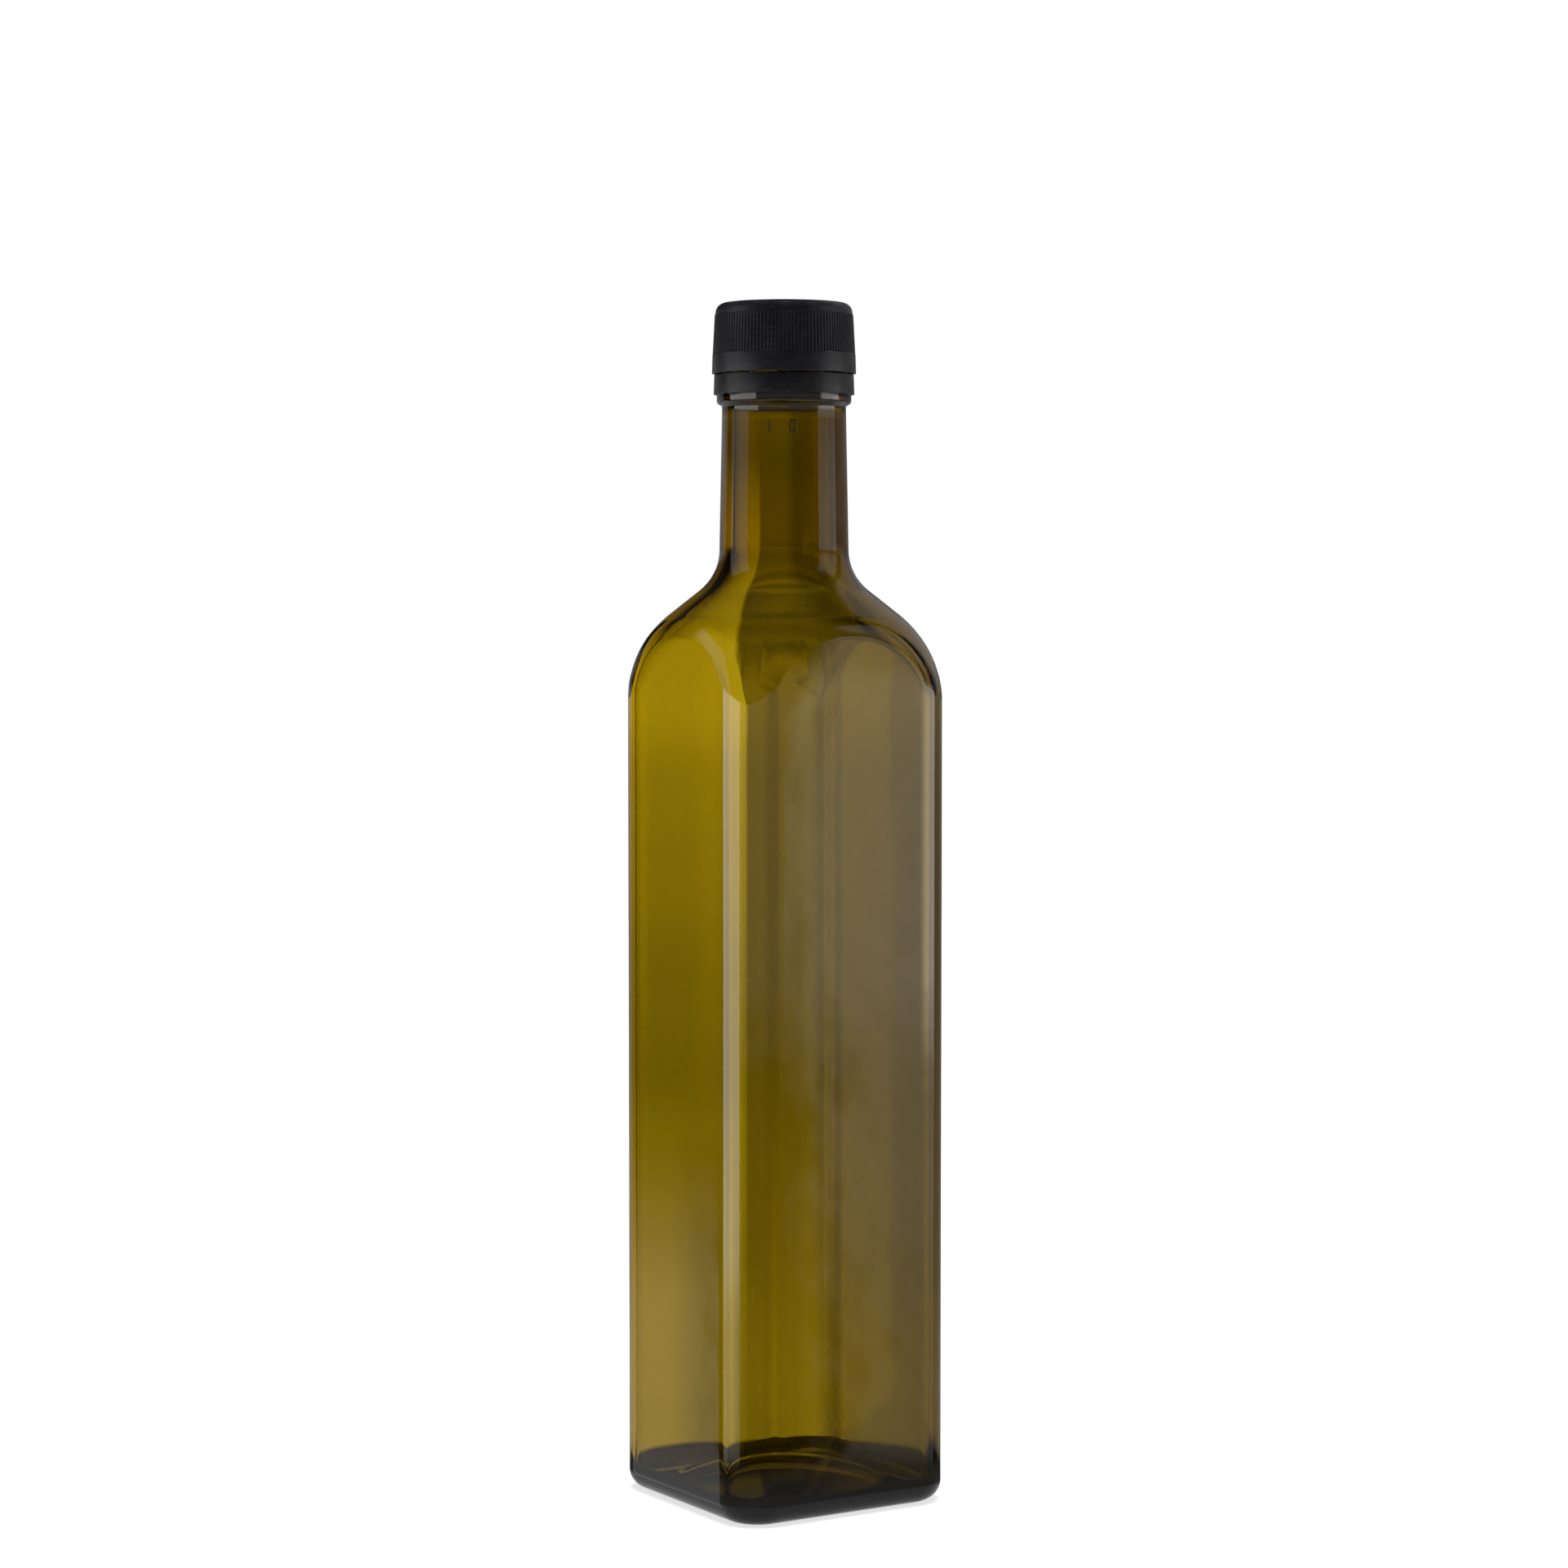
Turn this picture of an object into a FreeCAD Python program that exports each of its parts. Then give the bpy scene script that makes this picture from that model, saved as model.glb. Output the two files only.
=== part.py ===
import FreeCAD, Part
import math
import os

import Sketcher
from FreeCAD import Vector

# A square glass oil bottle of half a litre, with its ribbed screw cap, the tear-off band
# under the cap and the pouring insert that is pressed into the mouth.
# Lengths are millimetres and angles are degrees. The origin is the middle of the foot, +Z is up.
DIMENSIONS = [
    # glass body
    ("bodySide", 56.0, "width of the square body across two flats"),
    ("cornerRadius", 9.3, "upright corner of the body, outside"),
    ("heelRadius", 4.5, "rounding between the sides and the foot"),
    ("bodyWall", 2.4, "glass thickness of the body and the shoulder"),
    ("baseThickness", 3.6, "glass thickness at the edge of the foot"),
    ("innerHeelRadius", 2.5, "rounding between the inside walls and the floor"),
    ("pushUpRadius", 22.5, "edge of the hollow under the foot"),
    ("pushUpDepth", 5.0, "height of the hollow under the foot"),
    ("floorRiseRadius", 22.5, "edge of the raised middle of the inside floor"),
    ("floorRise", 4.0, "height of that raised middle"),
    # shoulder
    ("shoulderStart", 176.7, "height at which the shoulder's dome is upright"),
    ("domeOverhang", 0.1, "how far the dome's widest ring stands outside the corners"),
    ("domeRadius", 27.3, "upper curve of the shoulder, in profile"),
    ("shoulderSlope", 51.7, "steepest lean of the shoulder from upright"),
    ("neckBlendRadius", 11.7, "hollow curve between shoulder and neck"),
    ("creaseRadius", 6.0, "rounding where the flat sides meet the dome"),
    ("innerCreaseRadius", 5.0, "the same rounding on the inside"),
    # neck
    ("neckRootRadius", 14.4, "neck, outside, at its foot"),
    ("neckTopRadius", 13.8, "neck, outside, under the bead"),
    ("neckWall", 3.4, "glass thickness of the neck at its foot"),
    ("boreRadius", 10.8, "mouth, inside"),
    ("boreDepth", 11.0, "length of the straight mouth below the rim"),
    ("rimRounding", 0.7, "edges of the rim"),
    # finish
    ("glassHeight", 260.0, "foot to rim"),
    ("landRadius", 13.5, "smooth glass between rim and thread"),
    ("finishDepth", 15.5, "rim to the underside of the bead"),
    ("beadHeight", 5.8, "height of the bead under the thread"),
    ("beadDepth", 1.5, "how far the bead stands out past the land"),
    ("beadRounding", 0.8, "lower edge of the bead"),
    ("grooveDepth", 0.4, "how far the bottom of the groove over the bead stands out past the land"),
    ("grooveHeight", 0.5, "height of that groove"),
    ("lockRingDepth", 1.1, "how far the thin ring that holds the band back stands out past the land"),
    ("lockRingHeight", 0.3, "height of the thin ring at its edge"),
    ("lockRingBevel", 0.25, "slope over and under the thin ring's edge"),
    # thread
    ("threadDepth", 1.3, "how far the glass thread stands out"),
    ("threadFoot", 2.0, "height of the thread at its foot"),
    ("threadCrest", 0.9, "height of the thread at its edge"),
    ("threadPitch", 3.6, "rise of the thread in one turn"),
    ("threadTurns", 1.5, "length of the thread in turns"),
    ("threadDrop", 2.4, "rim to the middle of the thread's upper end"),
    ("threadRoot", 0.6, "how far the thread is sunk into the neck"),
    # screw cap
    ("capPlate", 1.3, "thickness of the cap's top"),
    ("capTopWall", 0.45, "ribbed wall at its top, with the ribs"),
    ("capRibFootWall", 0.93, "ribbed wall at its foot, with the ribs"),
    ("capRingTopWall", 0.97, "smooth ring under the ribs, wall at its top"),
    ("capRingFootWall", 1.09, "smooth ring, wall at its foot"),
    ("capRingHeight", 4.4, "height of the smooth ring"),
    ("capRounding", 2.2, "top edge of the cap"),
    ("capDish", 0.3, "how far the middle of the cap's top lies lower"),
    ("capDishMargin", 0.9, "flat ring between the rounded edge and the lower middle"),
    ("capDishSlope", 1.0, "width of the slope between that ring and the lower middle"),
    ("threadClearance", 0.15, "air between the glass thread and the cap's wall"),
    ("flangeClearance", 0.25, "air between the insert's flange and the cap's wall round it"),
    ("capNarrowing", 0.8, "rim to the place where the cap's wall has closed in over the thread"),
    ("sealWall", 0.8, "ring under the cap's plate that presses on the insert"),
    ("ribCount", 120, "ribs round the cap"),
    ("ribDepth", 0.24, "how far a rib stands out"),
    ("ribFootShare", 0.74, "foot of a rib as a share of the rib pitch"),
    ("ribCrestShare", 0.3, "edge of a rib as a share of the rib pitch"),
    ("ribMargin", 0.25, "smooth wall between the ribs and the cap's rounded edge"),
    ("ribRoot", 0.2, "how far a rib is sunk into the wall"),
    ("capThreadDepth", 1.1, "how far the cap's thread stands in"),
    ("capThreadFoot", 1.5, "height of the cap's thread at its foot"),
    ("capThreadCrest", 0.7, "height of the cap's thread at its edge"),
    ("capThreadTurns", 1.1, "length of the cap's thread in turns"),
    ("capThreadDrop", 1.3, "glass thread to the cap's thread under it"),
    ("capThreadRoot", 0.3, "how far the cap's thread is sunk into its wall"),
    # tear-off band
    ("bandGap", 0.3, "slot between band and cap"),
    ("bandHeight", 4.35, "height of the band"),
    ("bandTopWall", 0.41, "wall of the band at its top"),
    ("bandFootWall", 0.56, "wall of the band at its foot"),
    ("bandClearance", 0.12, "air between band and bead"),
    ("bandHook", 0.95, "how far the hook reaches in over the bead"),
    ("hookHeight", 0.35, "height of the hook"),
    ("hookDrop", 0.425, "top of the band to the top of the hook"),
    ("bridgeCount", 12, "thin bridges between band and cap"),
    ("bridgeWidth", 0.7, "width of one bridge"),
    ("bridgeDepth", 0.35, "thickness of one bridge"),
    ("bridgeInset", 0.05, "face of the band to the outside of a bridge"),
    ("bridgeRoot", 0.2, "how far a bridge is sunk into the band"),
    # pouring insert
    ("flangeOverhang", 0.35, "how far the flange on the rim stands out past the land"),
    ("flangeHeight", 1.0, "thickness of the flange"),
    ("ridgeInset", 1.2, "edge of the flange to the middle of the thin raised line on it"),
    ("ridgeHeight", 0.12, "height of that line"),
    ("ridgeWidth", 0.4, "width of that line"),
    ("plugClearance", 0.05, "air between insert and mouth"),
    ("plugWall", 0.9, "wall of the insert in the mouth"),
    ("plugDepth", 10.0, "rim to the foot of the insert"),
    ("plugTaper", 0.4, "how far the foot of the insert is drawn in"),
    ("plugTaperHeight", 0.8, "height of that taper"),
    ("mouthBevel", 1.0, "width of the slope from the flange down into the gutter"),
    ("mouthBevelDepth", 0.5, "depth of that slope"),
    ("gutterFloor", 0.9, "thickness of the gutter's floor"),
    ("spoutBore", 5.75, "spout, inside"),
    ("spoutWall", 1.4, "wall of the spout under its lip"),
    ("spoutStep", 0.2, "how much wider each lower stretch of the spout is"),
    ("stretchHeight", 1.2, "height of one stretch of the spout"),
    ("lipGap", 0.2, "air between the lip of the spout and the wall of the insert"),
    ("lipHeight", 4.75, "flange top to lip top"),
    ("lipClearance", 0.05, "air between the lip and the cap's plate"),
    ("lipThickness", 1.1, "edge of the lip"),
    ("lipSlope", 1.0, "height of the flare under the lip"),
    ("lipFlat", 0.6, "width of the lip's flat top"),
    ("funnelStart", 1.2, "edge of the lip to the start of the funnel"),
    ("funnelRise", 0.4, "height of that start over the flare"),
    ("drainWidth", 3.0, "drain slot in the gutter's floor"),
    ("drainMargin", 0.2, "floor left round the drain slot, and air cut over and under it"),
    # cutting
    ("cutMargin", 2.0, "how far a cutting form reaches past what it cuts"),
]

SHEET = "Dims"
PARTS_FOLDER = "parts"
NEAR = 1e-4  # two heights or places that differ by less are the same
LEAST_CHANGE = 1e-3  # a feature that changes the volume by less has failed


class Size:
    """A length or angle: its number and the expression that binds it to the sheet."""

    def __init__(self, value, text):
        self.value = float(value)
        self.text = text

    def combined(self, other, sign, value):
        return Size(value, "(" + self.text + " " + sign + " " + asSize(other).text + ")")

    def __add__(self, other):
        return self.combined(other, "+", self.value + asSize(other).value)

    def __sub__(self, other):
        return self.combined(other, "-", self.value - asSize(other).value)

    def __mul__(self, other):
        return self.combined(other, "*", self.value * asSize(other).value)

    def __truediv__(self, other):
        return self.combined(other, "/", self.value / asSize(other).value)


def asSize(thing):
    if isinstance(thing, Size):
        return thing
    return Size(thing, repr(thing))


def cosine(angle):
    return Size(math.cos(math.radians(angle.value)), "cos(" + angle.text + ")")


def sine(angle):
    return Size(math.sin(math.radians(angle.value)), "sin(" + angle.text + ")")


def makeSheet(doc):
    sheet = doc.addObject("Spreadsheet::Sheet", SHEET)
    for row, (alias, value, meaning) in enumerate(DIMENSIONS, start=1):
        sheet.set("A" + str(row), meaning)
        sheet.set("B" + str(row), str(value))
        sheet.setAlias("B" + str(row), alias)
    doc.recompute()
    return {alias: Size(getattr(sheet, alias), SHEET + "." + alias) for alias, _, _ in DIMENSIONS}


# ---------------------------------------------------------------- sketches

def originPart(body, role):
    return next(f for f in body.Origin.OriginFeatures if f.Role == role)


def newSketch(body, name, role, height=None):
    sketch = body.newObject("Sketcher::SketchObject", name)
    sketch.AttachmentSupport = [(originPart(body, role), "")]
    sketch.MapMode = "FlatFace"
    if height is not None:
        sketch.setExpression("AttachmentOffset.Base.z", height.text)
    return sketch


def bind(sketch, index, size):
    sketch.setExpression("Constraints[" + str(index) + "]", size.text)


def pinPoint(sketch, geometry, end, point):
    """Ties one end of a line or arc to its two distances from the origin."""
    for kind, size in (("DistanceX", point[0]), ("DistanceY", point[1])):
        if size.value == 0:
            axis = -2 if kind == "DistanceX" else -1
            sketch.addConstraint(Sketcher.Constraint("PointOnObject", geometry, end, axis))
        else:
            index = sketch.addConstraint(
                Sketcher.Constraint(kind, -1, 1, geometry, end, size.value)
            )
            bind(sketch, index, size)


def arcThrough(start, end, radius, left):
    """The short arc from start to end, whose centre is to the left or right of that way."""
    middle = (start + end) * 0.5
    chord = end - start
    rise = math.sqrt(max(radius ** 2 - (chord.Length / 2) ** 2, 0.0))
    side = Vector(-chord.y, chord.x, 0).normalize() * (1 if left else -1)
    return Part.Arc(start, middle + side * (rise - radius), end)


def outline(sketch, steps):
    """Draws a closed outline. Each step is (x, y) for a straight stretch to the next point,
    or (x, y, radius, left) for an arc to it."""
    points = [(asSize(step[0]), asSize(step[1])) for step in steps]
    flat = [Vector(x.value, y.value, 0) for x, y in points]
    count = len(steps)
    for i, step in enumerate(steps):
        start, end = flat[i], flat[(i + 1) % count]
        if len(step) == 2:
            sketch.addGeometry(Part.LineSegment(start, end))
        else:
            sketch.addGeometry(arcThrough(start, end, asSize(step[2]).value, step[3]))
    for i, step in enumerate(steps):
        forward = len(step) == 2 or step[3]
        first, last = (1, 2) if forward else (2, 1)
        following = steps[(i + 1) % count]
        nextFirst = 1 if len(following) == 2 or following[3] else 2
        sketch.addConstraint(Sketcher.Constraint("Coincident", i, last, (i + 1) % count, nextFirst))
        pinPoint(sketch, i, first, points[i])
        if len(step) == 4:
            radius = asSize(step[2])
            index = sketch.addConstraint(Sketcher.Constraint("Radius", i, radius.value))
            bind(sketch, index, radius)


def turned(x, y, quarterTurns):
    """The point (x, y) after some clockwise quarter turns about the origin."""
    zero = asSize(0)
    for _ in range(quarterTurns % 4):
        x, y = y, zero - x
    return (x, y)


def roundedSquare(sketch, half, radius):
    """A square round the origin whose four corners are quarter circles."""
    inner = half - radius
    steps = []
    for turn in range(4):
        steps.append(turned(inner, half, turn) + (radius, False))
        steps.append(turned(half, inner, turn))
    outline(sketch, steps)


# ---------------------------------------------------------------- features

def turnedFeature(body, kind, name, sketch):
    """A Revolution or Groove of a sketch in the XZ plane, all the way round Z."""
    feature = body.newObject("PartDesign::" + kind, name)
    feature.Profile = sketch
    feature.ReferenceAxis = (sketch, ["V_Axis"])
    feature.Angle = 360.0
    return feature


def turnedBody(doc, name, steps):
    """A body that starts with one turned outline in the XZ plane."""
    body = doc.addObject("PartDesign::Body", name)
    sketch = newSketch(body, name + "Outline", "XZ_Plane")
    outline(sketch, steps)
    feature = turnedFeature(body, "Revolution", name + "Form", sketch)
    doc.recompute()
    return body, feature


def addThread(doc, body, name, steps, pitch, turns):
    """A thread of the given profile that climbs round Z and joins the body."""
    sketch = newSketch(body, name + "Profile", "XZ_Plane")
    outline(sketch, [(asSize(0) - reach, height) for reach, height in steps])
    thread = body.newObject("PartDesign::AdditiveHelix", name)
    thread.Profile = sketch
    thread.ReferenceAxis = (sketch, ["V_Axis"])
    thread.Mode = "pitch-turns-angle"
    thread.setExpression("Pitch", pitch.text)
    thread.setExpression("Turns", turns.text)
    doc.recompute()
    return thread


def polarPattern(body, name, feature, count):
    pattern = body.newObject("PartDesign::PolarPattern", name)
    pattern.Originals = [feature]
    pattern.Axis = (originPart(body, "Z_Axis"), [""])
    pattern.Angle = 360.0
    pattern.setExpression("Occurrences", count.text)
    body.Tip = pattern
    return pattern


def edgesWhere(feature, test):
    """Names of the feature's edges that pass a test."""
    return ["Edge" + str(i + 1) for i, edge in enumerate(feature.Shape.Edges) if test(edge)]


def liesAt(edge, height):
    box = edge.BoundBox
    return abs(box.ZMin - height) < NEAR and abs(box.ZMax - height) < NEAR


def isCrease(edge, low, high):
    """Whether an edge lies between the prism's sides and its dome."""
    box = edge.BoundBox
    upright = box.XLength < NEAR and box.YLength < NEAR
    return box.ZMin > low + NEAR and box.ZMax < high and not upright


def filletFeature(body, name, base, edges, radius):
    feature = body.newObject("PartDesign::Fillet", name)
    feature.Base = (base, edges)
    feature.setExpression("Radius", radius.text)
    return feature


def checkVolume(before, after, grows, what):
    change = after.Shape.Volume - before.Shape.Volume
    if (change > 0) != grows or abs(change) < LEAST_CHANGE:
        raise RuntimeError(what + " changed the volume by " + str(change))


# ---------------------------------------------------------------- where the pieces meet

def beadTopHeight(d):
    return d["glassHeight"] - d["finishDepth"] + d["beadHeight"]


def hookHeights(d):
    """The band's hook lies in the middle of the groove over the bead."""
    foot = beadTopHeight(d) + (d["grooveHeight"] - d["hookHeight"]) / 2
    return foot, foot + d["hookHeight"]


def flangeRadius(d):
    return d["landRadius"] + d["flangeOverhang"]


def ridgeRadius(d):
    return flangeRadius(d) - d["ridgeInset"]


def flangeTopHeight(d):
    return d["glassHeight"] + d["flangeHeight"]


def spoutTop(d):
    return flangeTopHeight(d) + d["lipHeight"]


def capBore(d):
    return d["landRadius"] + d["threadDepth"] + d["threadClearance"]


def capTop(d):
    """The cap's plate lies just over the spout's lip."""
    return spoutTop(d) + d["lipClearance"] + d["capPlate"]


def capFoot(d):
    """The cap ends a slot above the band, whose hook lies in the groove over the bead."""
    return hookHeights(d)[1] + d["hookDrop"] + d["bandGap"]


# ---------------------------------------------------------------- glass

def cornerReach(half, radius):
    """Distance from the axis to the middle of a rounded corner."""
    return (half - radius) * Size(math.sqrt(2), "sqrt(2)") + radius


def shoulderProfile(d, widest, domeRadius, neckFoot, blendRadius):
    """Profile of shoulder and neck foot, from the dome's widest ring up to the neck:
    an arc that leans in, a straight slope, and a hollow arc that turns upright again."""
    slope = d["shoulderSlope"]
    lean, rise = asSize(1) - cosine(slope), sine(slope)
    start = d["shoulderStart"]
    domeEnd = (widest - domeRadius * lean, start + domeRadius * rise)
    blendFoot = neckFoot + blendRadius * lean
    blendStart = domeEnd[1] + (domeEnd[0] - blendFoot) * cosine(slope) / rise
    return [
        (widest, start, domeRadius, True),
        domeEnd,
        (blendFoot, blendStart, blendRadius, False),
        (neckFoot, blendStart + blendRadius * rise),
    ]


def squareForm(doc, name, half, radius, foot, top, profile, margin, crease, heel, lift):
    """The form that the glass and its hollow share: a square prism, cut back outside a
    turned profile to a dome and a neck, with its crease and its heel rounded, and with
    its foot pushed up in the middle. The margin is how far the cut reaches past the prism."""
    body = doc.addObject("PartDesign::Body", name)
    footprint = newSketch(body, name + "Footprint", "XY_Plane", foot)
    roundedSquare(footprint, half, radius)
    prism = body.newObject("PartDesign::Pad", name + "Prism")
    prism.Profile = footprint
    prism.setExpression("Length", (top - foot).text)
    doc.recompute()

    cutOutline = newSketch(body, name + "Profile", "XZ_Plane")
    outside, above = profile[0][0] + margin, top + margin
    outline(cutOutline, profile + [
        (profile[-1][0], above), (outside, above), (outside, profile[0][1]),
    ])
    dome = turnedFeature(body, "Groove", name + "Dome", cutOutline)
    doc.recompute()
    checkVolume(prism, dome, False, name + " dome")

    creases = edgesWhere(dome, lambda e: isCrease(e, foot.value, profile[1][1].value))
    rounded = filletFeature(body, name + "Crease", dome, creases, crease)
    doc.recompute()
    heelEdges = edgesWhere(rounded, lambda e: liesAt(e, foot.value))
    heeled = filletFeature(body, name + "Heel", rounded, heelEdges, heel)
    doc.recompute()

    liftOutline = newSketch(body, name + "LiftOutline", "XZ_Plane")
    liftRadius, liftHeight = lift
    sphere = (liftRadius * liftRadius + liftHeight * liftHeight) / (liftHeight * 2)
    outline(liftOutline, [
        (liftRadius, foot, sphere, True), (asSize(0), foot + liftHeight), (asSize(0), foot),
    ])
    lifted = turnedFeature(body, "Groove", name + "Lift", liftOutline)
    doc.recompute()
    checkVolume(heeled, lifted, False, name + " push-up")
    return body


def glassOutside(doc, d):
    half = d["bodySide"] / 2
    rim, edge = d["glassHeight"], d["rimRounding"]
    beadFoot, beadEdge = rim - d["finishDepth"], d["beadRounding"]
    beadTop = beadTopHeight(d)
    bead, ring = d["landRadius"] + d["beadDepth"], d["landRadius"] + d["lockRingDepth"]
    groove = d["landRadius"] + d["grooveDepth"]
    bevel = d["lockRingBevel"]
    ringFoot = beadTop + d["grooveHeight"]
    ringTop = ringFoot + bevel + d["lockRingHeight"]
    widest = cornerReach(half, d["cornerRadius"]) + d["domeOverhang"]
    profile = shoulderProfile(d, widest, d["domeRadius"], d["neckRootRadius"], d["neckBlendRadius"])
    profile += [
        (d["neckTopRadius"], beadFoot),
        (bead - beadEdge, beadFoot, beadEdge, True),
        (bead, beadFoot + beadEdge),
        (bead, beadTop),
        (groove, beadTop),
        (groove, ringFoot),
        (ring, ringFoot + bevel),
        (ring, ringTop),
        (d["landRadius"], ringTop + bevel),
        (d["landRadius"], rim - edge, edge, True),
        (d["landRadius"] - edge, rim),
    ]
    body = squareForm(
        doc, "GlassOutside", half, d["cornerRadius"], asSize(0), rim, profile, d["cutMargin"],
        d["creaseRadius"], d["heelRadius"], (d["pushUpRadius"], d["pushUpDepth"]),
    )
    middle = rim - d["threadDrop"] - d["threadPitch"] * d["threadTurns"]
    root, crest = d["landRadius"] - d["threadRoot"], d["landRadius"] + d["threadDepth"]
    foot, edgeHeight = d["threadFoot"] / 2, d["threadCrest"] / 2
    before = body.Tip
    thread = addThread(doc, body, "GlassThread", [
        (root, middle - foot), (d["landRadius"], middle - foot), (crest, middle - edgeHeight),
        (crest, middle + edgeHeight), (d["landRadius"], middle + foot), (root, middle + foot),
    ], d["threadPitch"], d["threadTurns"])
    checkVolume(before, thread, True, "glass thread")
    return body


def glassHollow(doc, d):
    wall = d["bodyWall"]
    half = d["bodySide"] / 2 - wall
    radius = d["cornerRadius"] - wall
    widest = cornerReach(half, radius) + d["domeOverhang"]
    neckFoot = d["neckRootRadius"] - d["neckWall"]
    blend = d["neckBlendRadius"] + d["neckWall"]
    profile = shoulderProfile(d, widest, d["domeRadius"] - wall, neckFoot, blend)
    rim, edge = d["glassHeight"], d["rimRounding"]
    profile += [
        (d["boreRadius"], rim - d["boreDepth"]),
        (d["boreRadius"], rim - edge, edge, False),
        (d["boreRadius"] + edge, rim),
    ]
    return squareForm(
        doc, "GlassHollow", half, radius, d["baseThickness"], rim + d["cutMargin"], profile,
        d["cutMargin"], d["innerCreaseRadius"], d["innerHeelRadius"],
        (d["floorRiseRadius"], d["floorRise"]),
    )


def makeBottle(doc, d):
    outside = glassOutside(doc, d)
    hollow = glassHollow(doc, d)
    bottle = doc.addObject("Part::Cut", "GlassBottle")
    bottle.Base = outside
    bottle.Tool = hollow
    return bottle


# ---------------------------------------------------------------- screw cap

def makeCap(doc, d):
    """A turned shell with a dished top, ribs patterned round its wall, and inside it a thread
    and a ring that presses on the insert's flange."""
    foot, top, bore = capFoot(d), capTop(d), capBore(d)
    ringTop = foot + d["capRingHeight"]
    depth, rounding = d["ribDepth"], d["capRounding"]
    wallTop = top - rounding
    topRadius = bore + d["capTopWall"]
    dish = topRadius - depth - rounding - d["capDishMargin"]
    plateFoot = top - d["capPlate"]
    upperBore = flangeRadius(d) + d["flangeClearance"]
    closed = d["glassHeight"] + d["capNarrowing"]
    seal, sealFoot = ridgeRadius(d), flangeTopHeight(d) + d["ridgeHeight"]
    sealHalf = d["sealWall"] / 2
    body, shell = turnedBody(doc, "ScrewCap", [
        (bore, foot),
        (bore + d["capRingFootWall"], foot),
        (bore + d["capRingTopWall"], ringTop),
        (bore + d["capRibFootWall"] - depth, ringTop),
        (topRadius - depth, wallTop, rounding, True),
        (topRadius - depth - rounding, top),
        (dish, top),
        (dish - d["capDishSlope"], top - d["capDish"]),
        (asSize(0), top - d["capDish"]),
        (asSize(0), plateFoot),
        (seal - sealHalf, plateFoot),
        (seal - sealHalf, sealFoot),
        (seal + sealHalf, sealFoot),
        (seal + sealHalf, plateFoot),
        (upperBore, plateFoot),
        (upperBore, closed),
        (bore, closed + upperBore - bore),
    ])

    middle = d["glassHeight"] - d["threadDrop"] - d["threadPitch"] * (d["threadTurns"] - 1)
    middle -= d["capThreadDrop"]
    root, crest = bore + d["capThreadRoot"], bore - d["capThreadDepth"]
    rootHalf, edgeHalf = d["capThreadFoot"] / 2, d["capThreadCrest"] / 2
    thread = addThread(doc, body, "CapThread", [
        (root, middle - rootHalf), (root, middle + rootHalf), (bore, middle + rootHalf),
        (crest, middle + edgeHalf), (crest, middle - edgeHalf), (bore, middle - rootHalf),
    ], d["threadPitch"], d["capThreadTurns"])
    checkVolume(shell, thread, True, "cap thread")

    rib = body.newObject("PartDesign::Pad", "Rib")
    rib.Profile = ribOutline(body, d, ringTop)
    rib.setExpression("Length", (wallTop - ringTop - d["ribMargin"]).text)
    rib.UseCustomVector = True
    rib.AlongSketchNormal = True
    lean, rise = d["capTopWall"] - d["capRibFootWall"], wallTop - ringTop
    rib.Direction = Vector(lean.value, 0, rise.value)
    rib.setExpression("Direction.x", lean.text)
    rib.setExpression("Direction.z", rise.text)
    doc.recompute()
    checkVolume(thread, rib, True, "rib")
    ribs = polarPattern(body, "Ribs", rib, d["ribCount"])
    doc.recompute()
    checkVolume(rib, ribs, True, "ribs")
    return body


def ribOutline(body, d, height):
    """Cross-section of one rib: narrow at its edge, wide at its foot, and sunk into the wall."""
    over = capBore(d) + d["capRibFootWall"]
    pitch = over * Size(2 * math.pi, "2 * pi") / d["ribCount"]
    foot, crest = pitch * d["ribFootShare"] / 2, pitch * d["ribCrestShare"] / 2
    valley = over - d["ribDepth"]
    root, zero = valley - d["ribRoot"], asSize(0)
    sketch = newSketch(body, "RibOutline", "XY_Plane", height)
    outline(sketch, [
        (root, zero - foot), (valley, zero - foot), (over, zero - crest),
        (over, crest), (valley, foot), (root, foot),
    ])
    return sketch


# ---------------------------------------------------------------- tear-off band

def makeBand(doc, d):
    """A ring round the bead with a hook in the groove over it, and thin bridges to the cap."""
    top = capFoot(d) - d["bandGap"]
    foot = top - d["bandHeight"]
    inside = d["landRadius"] + d["beadDepth"] + d["bandClearance"]
    hookInside = inside - d["bandHook"]
    hookFoot, hookTop = hookHeights(d)
    body, ring = turnedBody(doc, "TamperBand", [
        (inside, foot),
        (inside + d["bandFootWall"], foot),
        (inside + d["bandTopWall"], top),
        (inside, top),
        (inside, hookTop),
        (hookInside, hookTop),
        (hookInside, hookFoot),
        (inside, hookFoot),
    ])
    outer = inside + d["bandTopWall"] - d["bridgeInset"]
    inner = outer - d["bridgeDepth"]
    half = d["bridgeWidth"] / 2
    zero = asSize(0)
    sketch = newSketch(body, "BridgeOutline", "XY_Plane", top - d["bridgeRoot"])
    outline(sketch, [(inner, zero - half), (outer, zero - half), (outer, half), (inner, half)])
    bridge = body.newObject("PartDesign::Pad", "Bridge")
    bridge.Profile = sketch
    bridge.setExpression("Length", (d["bandGap"] + d["bridgeRoot"]).text)
    doc.recompute()
    bridges = polarPattern(body, "Bridges", bridge, d["bridgeCount"])
    doc.recompute()
    checkVolume(ring, bridges, True, "bridges")
    return body


# ---------------------------------------------------------------- pouring insert

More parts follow.
